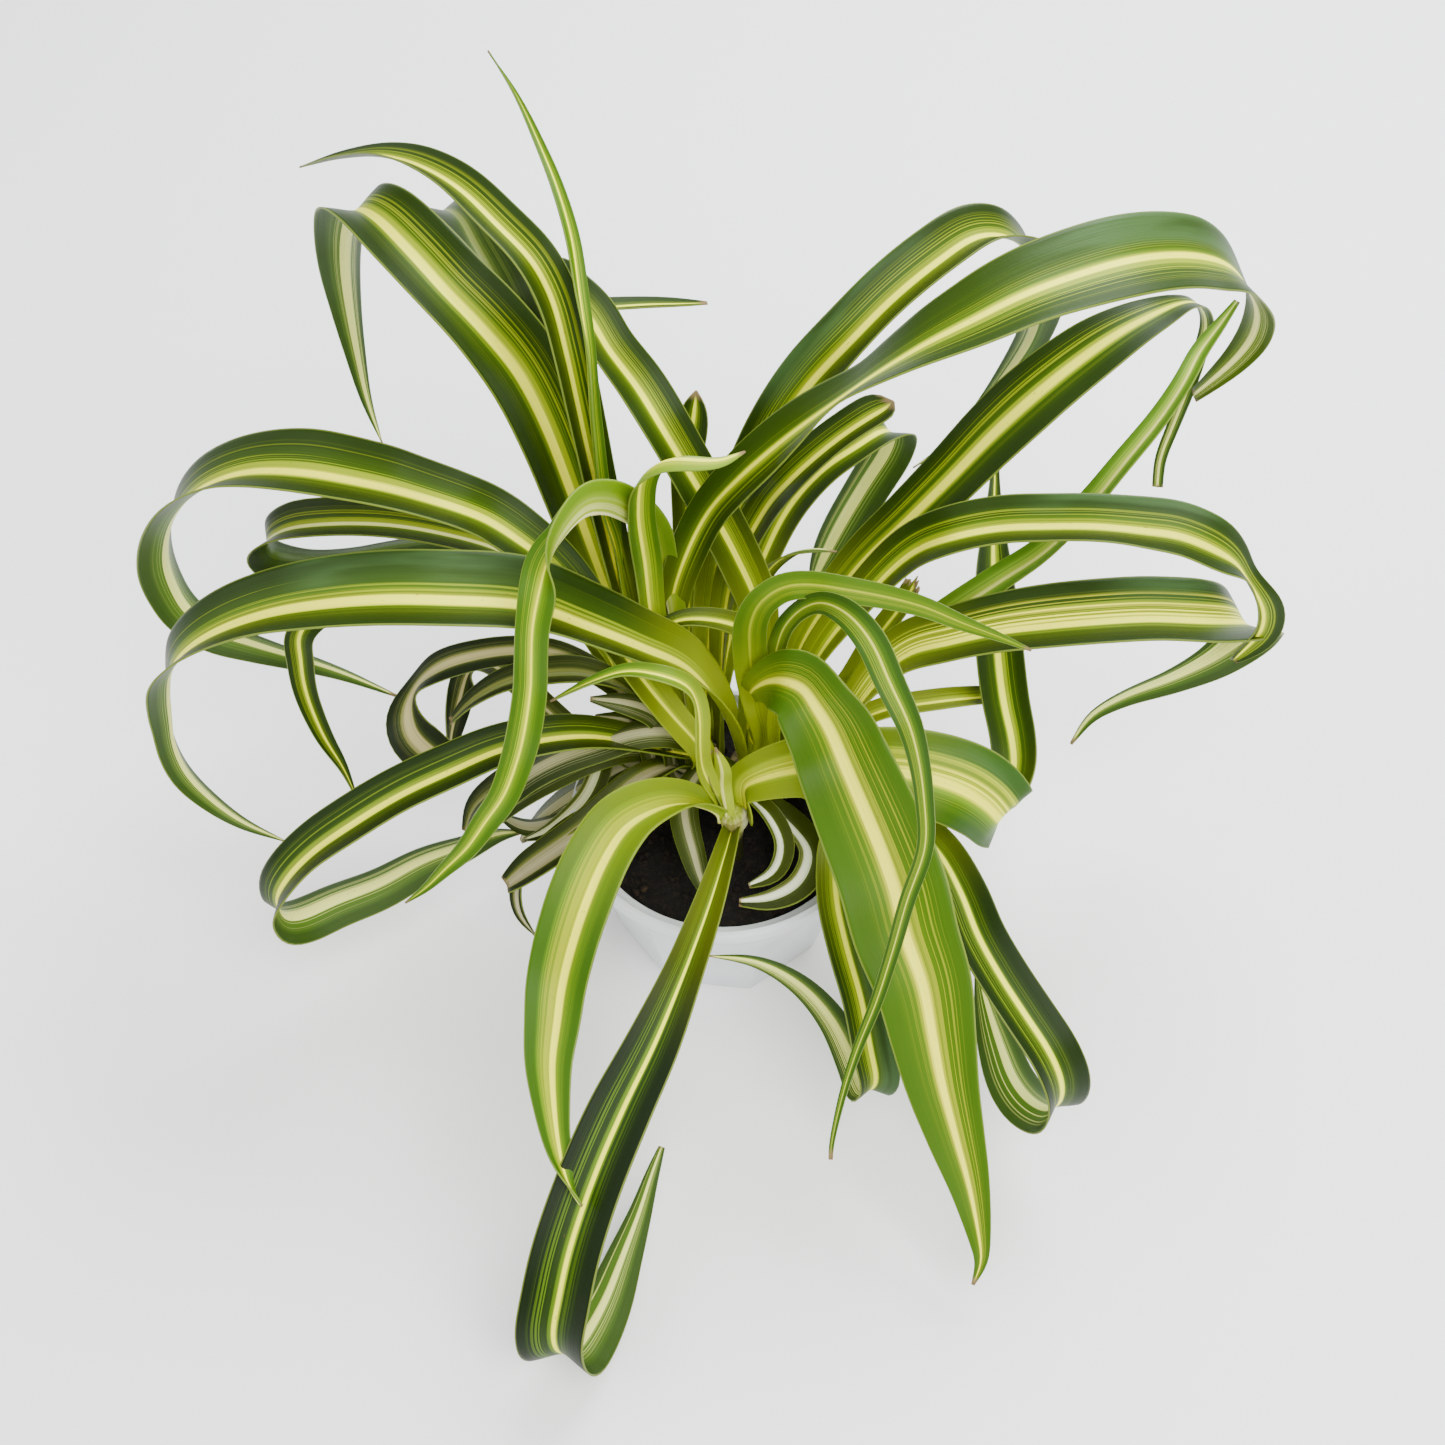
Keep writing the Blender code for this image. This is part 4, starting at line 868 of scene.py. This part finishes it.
rightLong = {"foot": ("rightCrown", 9.5, 19), "widths": ((0, 5), (0.15, 10), (0.4, 12), (0.6, 10.5), (0.8, 8),
    (0.93, 6), (1, 2)), "skin": grownSkin, "lines": -1, "dry": 0.3, "edge": "4E7416", "green": "6C9428",
    "bright": "84A434", "band": "A4B83C", "cream": "E0E47C",
    "route": [(30, 25, 66), (44, 33, 74), (56, 43, 83), (71, 47, 95), (86, 51, 106), (98, 52, 118), (109, 56, 132),
        (119, 61, 147), (128, 66, 160), (134, 71, 170), (138, 77, 175), (143, 81, 181), (148, 86, 186)]}
growLeaf("right_long", rightLong)

rightLowArch = {"foot": ("rightCrown", 8, 68), "widths": ((0, 6), (0.15, 12), (0.35, 20), (0.5, 25), (0.6, 22),
    (0.67, 14), (0.73, 7), (0.85, 5), (1, 3.4)), "fold": 8, "skin": grownSkin, "lines": -1, "bandHalf": 0.2,
    "dry": 0.3,
    "route": [(25, 43, 84), (42, 54, 108), (56, 57, 126), (68, 61, 140), (79, 66, 152), (90, 71, 162), (102, 77, 170),
        (114, 83, 176), (126, 90, 178), (137, 100, 174), (145, 108, 166), (149, 110, 157), (148, 107, 149),
        (145, 100, 141), (141, 93, 131), (138, 88, 121), (138, 84, 113)]}
growLeaf("right_low_arch", rightLowArch)

rightUpper = {"foot": ("rightCrown", 6, 20), "widths": ((0, 6.5), (0.18, 13), (0.45, 20.5), (0.68, 21), (0.78, 18),
    (0.83, 11), (0.855, 8), (0.9, 13.5), (0.94, 14), (0.98, 9), (1, 3)), "fold": 26, "twist": ((0, 0), (0.64, 0),
    (0.76, -20), (0.845, -8), (0.9, -45), (0.95, -75), (1, -95)), "skin": grownSkin, "lines": -1,
    "bloom": (120, 200, 1), "dry": 0.3,
    "route": [(27, 31, 88), (42, 38, 112), (55, 40, 130), (66, 35, 143), (79, 34, 148), (93, 31, 152), (106, 28, 155),
        (120, 26, 155), (129, 25, 154), (140, 24, 149), (148, 25, 142), (153, 25, 134), (158, 24, 126),
        (161, 24, 118), (161, 24, 110), (158, 24, 104), (155, 24, 99)]}
growLeaf("right_upper", rightUpper)

rightWide = {"foot": ("rightCrown", 9, 345), "widths": ((0, 6), (0.1, 14), (0.25, 22), (0.4, 27.5), (0.6, 28),
    (0.68, 25), (0.76, 17), (0.84, 10.5), (0.92, 6.5), (0.97, 3.5), (1, 1)), "skin": grownSkin, "lines": -1,
    "bandHalf": 0.42, "creamLines": 1, "bloom": (120, 175, 1), "creamHalf": 0.1,
    "route": [(33, 14, 75), (54, 29, 96), (69, 28, 105), (83, 28, 110), (98, 28, 113), (113, 28, 115), (128, 29, 115),
        (144, 30, 113), (156, 35, 107), (162, 40, 101), (166, 45, 93), (167, 47, 86), (164, 47, 80), (157, 44, 75),
        (145, 41, 69), (130, 39, 62), (120, 36, 56), (114, 31, 48)]}
growLeaf("right_wide", rightWide)

lowRight = {"foot": ("rightCrown", 12, 8), "widths": ((0, 5), (0.3, 9), (0.7, 9.5), (1, 8)), "skin": grownSkin,
    "lines": -1,
    "route": [(35, 24, 62), (50, 30, 67), (66, 32, 69), (77, 36, 66), (91, 42, 60)]}
growLeaf("low_right", lowRight)

backSweep = {"foot": ("rightCrown", 12, 338), "widths": ((0, 5), (0.2, 10), (0.4, 15), (0.55, 17), (0.66, 17),
    (0.78, 13), (0.88, 7), (0.95, 4), (1, 3)), "skin": grownSkin, "dry": 0.3,
    "route": [(35, 12, 60), (48, 7, 59), (64, 3, 57), (78, 2, 55), (88, 4, 56), (92, 12, 60), (92, 20, 64),
        (90, 33, 69), (89, 47, 74), (89, 67, 78), (90, 90, 82), (93, 122, 85)]}
growLeaf("back_sweep", backSweep)

tornStub = {"foot": ("rightCrown", 12, 42), "widths": ((0, 5), (0.4, 8), (0.85, 9), (1, 7)), "torn": 7,
    "skin": grownSkin, "dry": 1.4,
    "route": [(31, 32, 62), (40, 38, 72), (48, 45, 84), (57, 51, 96), (60, 54, 101)]}
growLeaf("torn_stub", tornStub)

thinArch = {"foot": ("rightCrown", 12, 95), "wide": 5, "base": 0.7, "taper": 4, "skin": grownSkin,
    "route": [(11, 52, 76), (13, 58, 98), (20, 55, 112), (28, 54, 116), (35, 54, 115)]}
growLeaf("thin_arch", thinArch)

besidePot = {"foot": ("rightCrown", 12, 284), "wide": 14.5, "base": 0.45, "widest": 0.45, "skin": grownSkin,
    "stripe": 0.1, "bloom": (50, 150, -1),
    "route": [(36, -12, 70), (34, -30, 74), (34, -45, 72), (37, -58, 66), (41, -69, 57), (44, -80, 46), (46, -86, 36),
        (43, -85, 28), (40, -77, 30), (33, -66, 39), (23, -59, 48), (10, -56, 56), (-5, -57, 61)]}
growLeaf("beside_pot", besidePot)

lowLeft = {"foot": ("rightCrown", 9.5, 227), "wide": 19, "base": 0.34, "widest": 0.55, "taper": 5, "skin": grownSkin,
    "edge": "182806", "green": "263A08", "bright": "3C540A", "band": "74881A", "glow": 0.1,
    "route": [(-6, 14, 64), (-18, 10, 74), (-31, 6, 84), (-41, 2, 91), (-51, -2, 95), (-66, -7, 96), (-80, -13, 94),
        (-95, -18, 89), (-110, -24, 82), (-123, -28, 73), (-132, -32, 64), (-137, -34, 54), (-136, -35, 46),
        (-131, -31, 40), (-121, -24, 38), (-108, -17, 37), (-95, -9, 38), (-83, -4, 39), (-71, 0, 41), (-63, 0, 42)]}
growLeaf("low_left", lowLeft)

stripedRight = {"foot": ("node", 3, 15, 75), "widths": ((0, 10), (0.1, 13), (0.28, 18), (0.5, 25), (0.75, 26.5),
    (0.9, 23.5), (1, 21)), "folds": ((0, 20), (0.6, 14), (0.88, 4), (1, 2)), "sheathFold": 34, "twist": ((0, -40),
    (0.2, -42), (0.7, -41), (0.84, -55), (0.91, -65), (1, -65)), "skin": youngSkin, "stripe": 0.1, "lines": -1,
    "bandHalf": 0.5, "creamLines": 0.8, "dry": 0.3, "bloom": (55, 108, 1), "glow": 0.5, "edge": "284A02",
    "green": "3A6002", "creamHalf": 0.1,
    "route": [(5, -13, 84), (9, -14, 90), (18, -15, 96), (29, -17, 101), (40, -20, 104), (52, -21, 104),
        (62, -22, 102), (71, -23, 98), (78, -23, 91), (83, -22, 82), (84, -16, 74)]}
growLeaf("striped_right", stripedRight)

# painted shade: this leaf's very dark colours stand in for the shade on its steep hanging face
longFront = {"foot": ("node", 3.5, 262, 69), "widths": ((0, 6.5), (0.1, 8.5), (0.25, 12), (0.33, 16.5), (0.42, 20),
    (0.6, 21.5), (0.7, 21.5), (0.78, 19), (0.88, 11), (0.94, 6), (0.98, 4), (1, 2)), "sheathFold": 46,
    "skin": grownSkin, "creamHalf": 0.07, "bandHalf": 0.12, "glow": 0.25, "dry": 0.3, "edge": "0E1C02",
    "green": "162802", "bright": "243A04", "band": "54740A",
    "route": [(1, -32, 80), (-4, -55, 85), (-11, -77, 84), (-19, -95, 77), (-28, -111, 68), (-36, -127, 58),
        (-42, -142, 48), (-45, -152, 39), (-47, -159, 29), (-46, -161, 19), (-42, -158, 11), (-38, -151, 9),
        (-33, -141, 10), (-29, -130, 12), (-24, -116, 15), (-21, -106, 17), (-18, -98, 20)]}
growLeaf("long_front", longFront)

plantlet = {"foot": ("node", 3, 200, 75), "widths": ((0, 7), (0.1, 12), (0.25, 19), (0.45, 21.5), (0.6, 20),
    (0.7, 17), (0.8, 12.5), (0.9, 7.5), (0.96, 4.5), (1, 1.5)), "sheathFold": 72, "sheathShare": 0.34,
    "twist": ((0, 0), (0.9, 0), (1, 100)), "skin": youngSkin, "stripe": -0.12, "bandHalf": 0.5, "dry": 0.5,
    "edge": "345604", "green": "486E04", "bright": "668204", "band": "98A204", "glow": 0.4,
    "route": [(-9, -23, 93), (-19, -32, 103), (-28, -41, 106), (-34, -50, 103), (-39, -60, 97), (-43, -69, 89),
        (-46, -78, 80), (-47, -86, 75), (-48, -96, 70), (-47, -107, 66), (-45, -118, 62), (-42, -127, 59),
        (-38, -133, 57)]}
growLeaf("plantlet", plantlet)

plantletHook = {"foot": ("node", 3, 175, 77), "widths": ((0, 5.5), (0.2, 7), (0.5, 7.5), (0.7, 6), (0.85, 4),
    (1, 0.6)), "twist": ((0, 35), (0.45, 35), (0.6, 0)), "skin": youngSkin,
    "route": [(-5, -15, 94), (-6, -18, 111), (-6, -19, 124), (-7, -19, 134), (-10, -20, 142), (-17, -20, 146),
        (-26, -17, 144), (-36, -16, 138), (-48, -15, 128)]}
growLeaf("plantlet_hook", plantletHook)

sheath = {"foot": ("node", 2.5, 230, 77), "wide": 6, "base": 0.8, "widest": 0.4, "taper": 3, "skin": youngSkin,
    "route": [(0, -14, 86), (0, -14, 95), (-2, -13, 104)]}
growLeaf("sheath", sheath)

innerLeft = {"foot": ("leftCrown", 12, 205), "widths": ((0, 5), (0.3, 8), (0.6, 10), (0.7, 10.5), (0.765, 9.5),
    (0.82, 14), (0.9, 17), (1, 13)), "fold": 14, "twist": ((0, 90), (0.2, 60), (0.35, 40), (0.62, 45), (0.7, 22),
    (0.765, -14), (0.83, 24), (0.88, 26), (0.94, 0), (1, -20)), "skin": agedAndShadedSkin, "dry": 0.3, "creamHalf": 0.3,
    "route": [(-21, 21, 70), (-30, 26, 80), (-41, 30, 88), (-52, 33, 92), (-64, 35, 91), (-78, 36, 87), (-90, 37, 80),
        (-98, 36, 72), (-101, 31, 66), (-100, 26, 60), (-94, 23, 53), (-86, 21, 47)]}
growLeaf("inner_left", innerLeft)

smallLoop = {"foot": ("leftCrown", 12, 229), "widths": ((0, 4), (0.3, 9), (0.6, 11), (0.9, 9), (1, 3)),
    "twist": ((0, 0), (0.6, 0), (0.8, 60), (1, 90)), "skin": agedAndShadedSkin, "dry": 0.5,
    "route": [(-25, 13, 57), (-34, 15, 63), (-45, 18, 70), (-55, 25, 74), (-64, 34, 75), (-72, 44, 72), (-79, 50, 68),
        (-84, 50, 62), (-86, 45, 56), (-88, 39, 50), (-89, 32, 45), (-87, 27, 40)]}
growLeaf("small_loop", smallLoop)

paleCurl = {"foot": ("leftCrown", 12, 250), "widths": ((0, 5), (0.3, 8), (0.7, 8), (0.9, 5), (1, 1.5)),
    "twist": ((0, -160), (1, -150)), "skin": agedAndShadedSkin, "stripe": 0.25, "cream": "D8DCA8", "creamHalf": 0.4,
    "dry": 0.4,
    "route": [(-20, 14, 60), (-26, 16, 65), (-32, 17, 67), (-37, 13, 66), (-39, 7, 63), (-42, 2, 59), (-48, -3, 55),
        (-55, -6, 51), (-62, -6, 47)]}
growLeaf("pale_curl", paleCurl)

leftTail = {"foot": ("leftCrown", 12, 271), "wide": 7.5, "base": 0.65, "taper": 3, "skin": agedAndShadedSkin, "creamHalf": 0.4,
    "cream": "B8B490", "dry": 0.3,
    "route": [(-22, -3, 60), (-42, -8, 62), (-56, -13, 52), (-64, -18, 43), (-64, -26, 36), (-58, -33, 32)]}
growLeaf("left_tail", leftTail)

brownLeft = {"foot": ("leftCrown", 12, 294), "widths": ((0, 5), (0.3, 10), (0.6, 13), (0.9, 13), (0.97, 11), (1, 7)),
    "skin": agedAndShadedSkin, "creamHalf": 0.42, "dry": 0.2, "cream": "A69C78",
    "route": [(-10, 9, 62), (-15, 9, 66), (-20, 6, 68), (-26, 2, 68), (-32, -3, 66), (-38, -9, 64), (-45, -14, 61),
        (-53, -18, 57), (-60, -21, 53), (-67, -24, 48)]}
growLeaf("brown_left", brownLeft)

underLeft = {"foot": ("leftCrown", 12, 318), "widths": ((0, 5), (0.3, 11), (0.6, 13), (0.85, 11), (1, 2)),
    "skin": agedAndShadedSkin, "cream": "98925C", "dry": 1,
    "route": [(-5, 11, 70), (-10, 11, 78), (-18, 10, 82), (-27, 8, 83), (-37, 4, 83), (-48, 1, 81), (-58, -3, 78),
        (-66, -7, 73), (-74, -10, 66), (-79, -13, 58)]}
growLeaf("under_left", underLeft)

overSoil = {"foot": ("leftCrown", 12, 348), "widths": ((0, 5), (0.3, 8), (0.6, 10), (0.9, 8), (1, 3)),
    "skin": agedAndShadedSkin, "cream": "A8A070", "dry": 0.5,
    "route": [(-2, 15, 58), (-6, 9, 64), (-10, 1, 66), (-12, -6, 65), (-11, -14, 63), (-9, -21, 61), (-7, -28, 59),
        (-5, -33, 57)]}
growLeaf("over_soil", overSoil)

insideCurl = {"foot": ("rightCrown", 12, 258), "widths": ((0, 5), (0.3, 9), (0.6, 10), (0.85, 9), (1, 3)),
    "skin": agedAndShadedSkin, "stripe": 0.45, "creamHalf": 0.3, "cream": "EDF0D0", "dry": 0.2,
    "route": [(14, 1, 58), (22, -8, 59), (28, -20, 60), (24, -31, 59), (15, -36, 58), (5, -36, 57)]}
growLeaf("inside_curl", insideCurl)

insideRing = {"foot": ("rightCrown", 12, 236), "widths": ((0, 5), (0.3, 7), (0.7, 7), (0.9, 6), (1, 2)),
    "skin": agedAndShadedSkin, "stripe": 0.4, "creamHalf": 0.35, "cream": "EDF0D0", "dry": 0.2,
    "route": [(9, 0, 62), (15, -10, 66), (19, -19, 63), (16, -27, 59), (8, -30, 57)]}
growLeaf("inside_ring", insideRing)

dryScale = {"foot": ("node", 3.2, 190, 77), "wide": 4, "base": 0.8, "taper": 3, "skin": agedAndShadedSkin, "dry": 9,
    "route": [(-4, -13, 90), (-4, -12, 97), (-3, -11, 100)]}
growLeaf("dry_scale", dryScale)

# painted shade: the small dark leaves below fill the shaded interior on the left, closing holes through which the floor
# would show
shadeLow = {"foot": ("leftCrown", 12, 262), "widths": ((0, 5), (0.3, 12), (0.6, 14), (0.85, 11), (1, 3)),
    "skin": agedAndShadedSkin, "dry": 0.5, "cream": "7C7C48",
    "route": [(-17, 17, 62), (-26, 15, 69), (-38, 10, 72), (-50, 6, 69), (-62, 2, 63), (-72, -2, 55), (-79, -6, 45)]}
growLeaf("shade_low", shadeLow)

shadeInner = {"foot": ("leftCrown", 12, 275), "widths": ((0, 5), (0.3, 9), (0.7, 9), (0.9, 6), (1, 2)),
    "skin": agedAndShadedSkin, "dry": 0.5, "creamHalf": 0.35, "cream": "9C9874",
    "route": [(-18, 12, 58), (-29, 7, 61), (-40, 2, 57), (-51, -1, 50), (-62, 0, 45), (-72, 7, 42)]}
growLeaf("shade_inner", shadeInner)

shadeUpright = {"foot": ("leftCrown", 11, 300), "widths": ((0, 5), (0.3, 9), (0.7, 11), (0.9, 8), (1, 2)),
    "skin": agedAndShadedSkin, "dry": 0.5, "cream": "6C7440",
    "route": [(-15, 10, 58), (-16, 12, 66), (-17, 13, 76), (-21, 14, 86), (-29, 13, 92), (-40, 13, 94)]}
growLeaf("shade_upright", shadeUpright)

shadeBeside = {"foot": ("leftCrown", 12, 288), "widths": ((0, 5), (0.3, 8), (0.7, 9), (0.9, 7), (1, 2)),
    "skin": agedAndShadedSkin, "dry": 0.5, "cream": "7C7C50",
    "route": [(-21, 9, 56), (-22, 12, 64), (-24, 15, 72), (-29, 15, 80), (-39, 14, 84)]}
growLeaf("shade_beside", shadeBeside)

shadeHigh = {"foot": ("leftCrown", 11, 215), "widths": ((0, 5), (0.3, 11), (0.6, 13), (0.85, 10), (1, 3)),
    "skin": agedAndShadedSkin, "dry": 0.5, "cream": "6C7440",
    "route": [(-21, 22, 76), (-31, 25, 86), (-42, 26, 91), (-54, 25, 92), (-67, 24, 89), (-78, 22, 82),
        (-85, 20, 74)]}
growLeaf("shade_high", shadeHigh)

shadeEdge = {"foot": ("leftCrown", 12, 240), "widths": ((0, 5), (0.3, 11), (0.7, 12), (0.9, 9), (1, 3)),
    "skin": agedAndShadedSkin, "dry": 0.5, "cream": "8C8C58",
    "route": [(-29, 16, 72), (-43, 11, 72), (-57, 8, 68), (-70, 6, 60), (-79, 3, 52), (-82, -1, 44)]}
growLeaf("shade_edge", shadeEdge)

shadeFill = {"foot": ("leftCrown", 12, 283), "widths": ((0, 5), (0.3, 12), (0.7, 14), (0.9, 10), (1, 3)),
    "skin": agedAndShadedSkin, "dry": 0.5, "cream": "74744A",
    "route": [(-26, 15, 60), (-37, 10, 59), (-48, 6, 53), (-57, 4, 45), (-65, 2, 35)]}
growLeaf("shade_fill", shadeFill)

crossLeft = {"foot": ("rightCrown", 6, 175), "widths": ((0, 5), (0.3, 7), (0.7, 8.5), (0.9, 7), (1, 4)),
    "skin": grownSkin, "dry": 0.5, "creamHalf": 0.18,
    "route": [(9, 33, 74), (10, 34, 90), (7, 33, 103), (-3, 32, 109), (-13, 31, 110), (-22, 29, 106)]}
growLeaf("cross_left", crossLeft)

print("leaves")
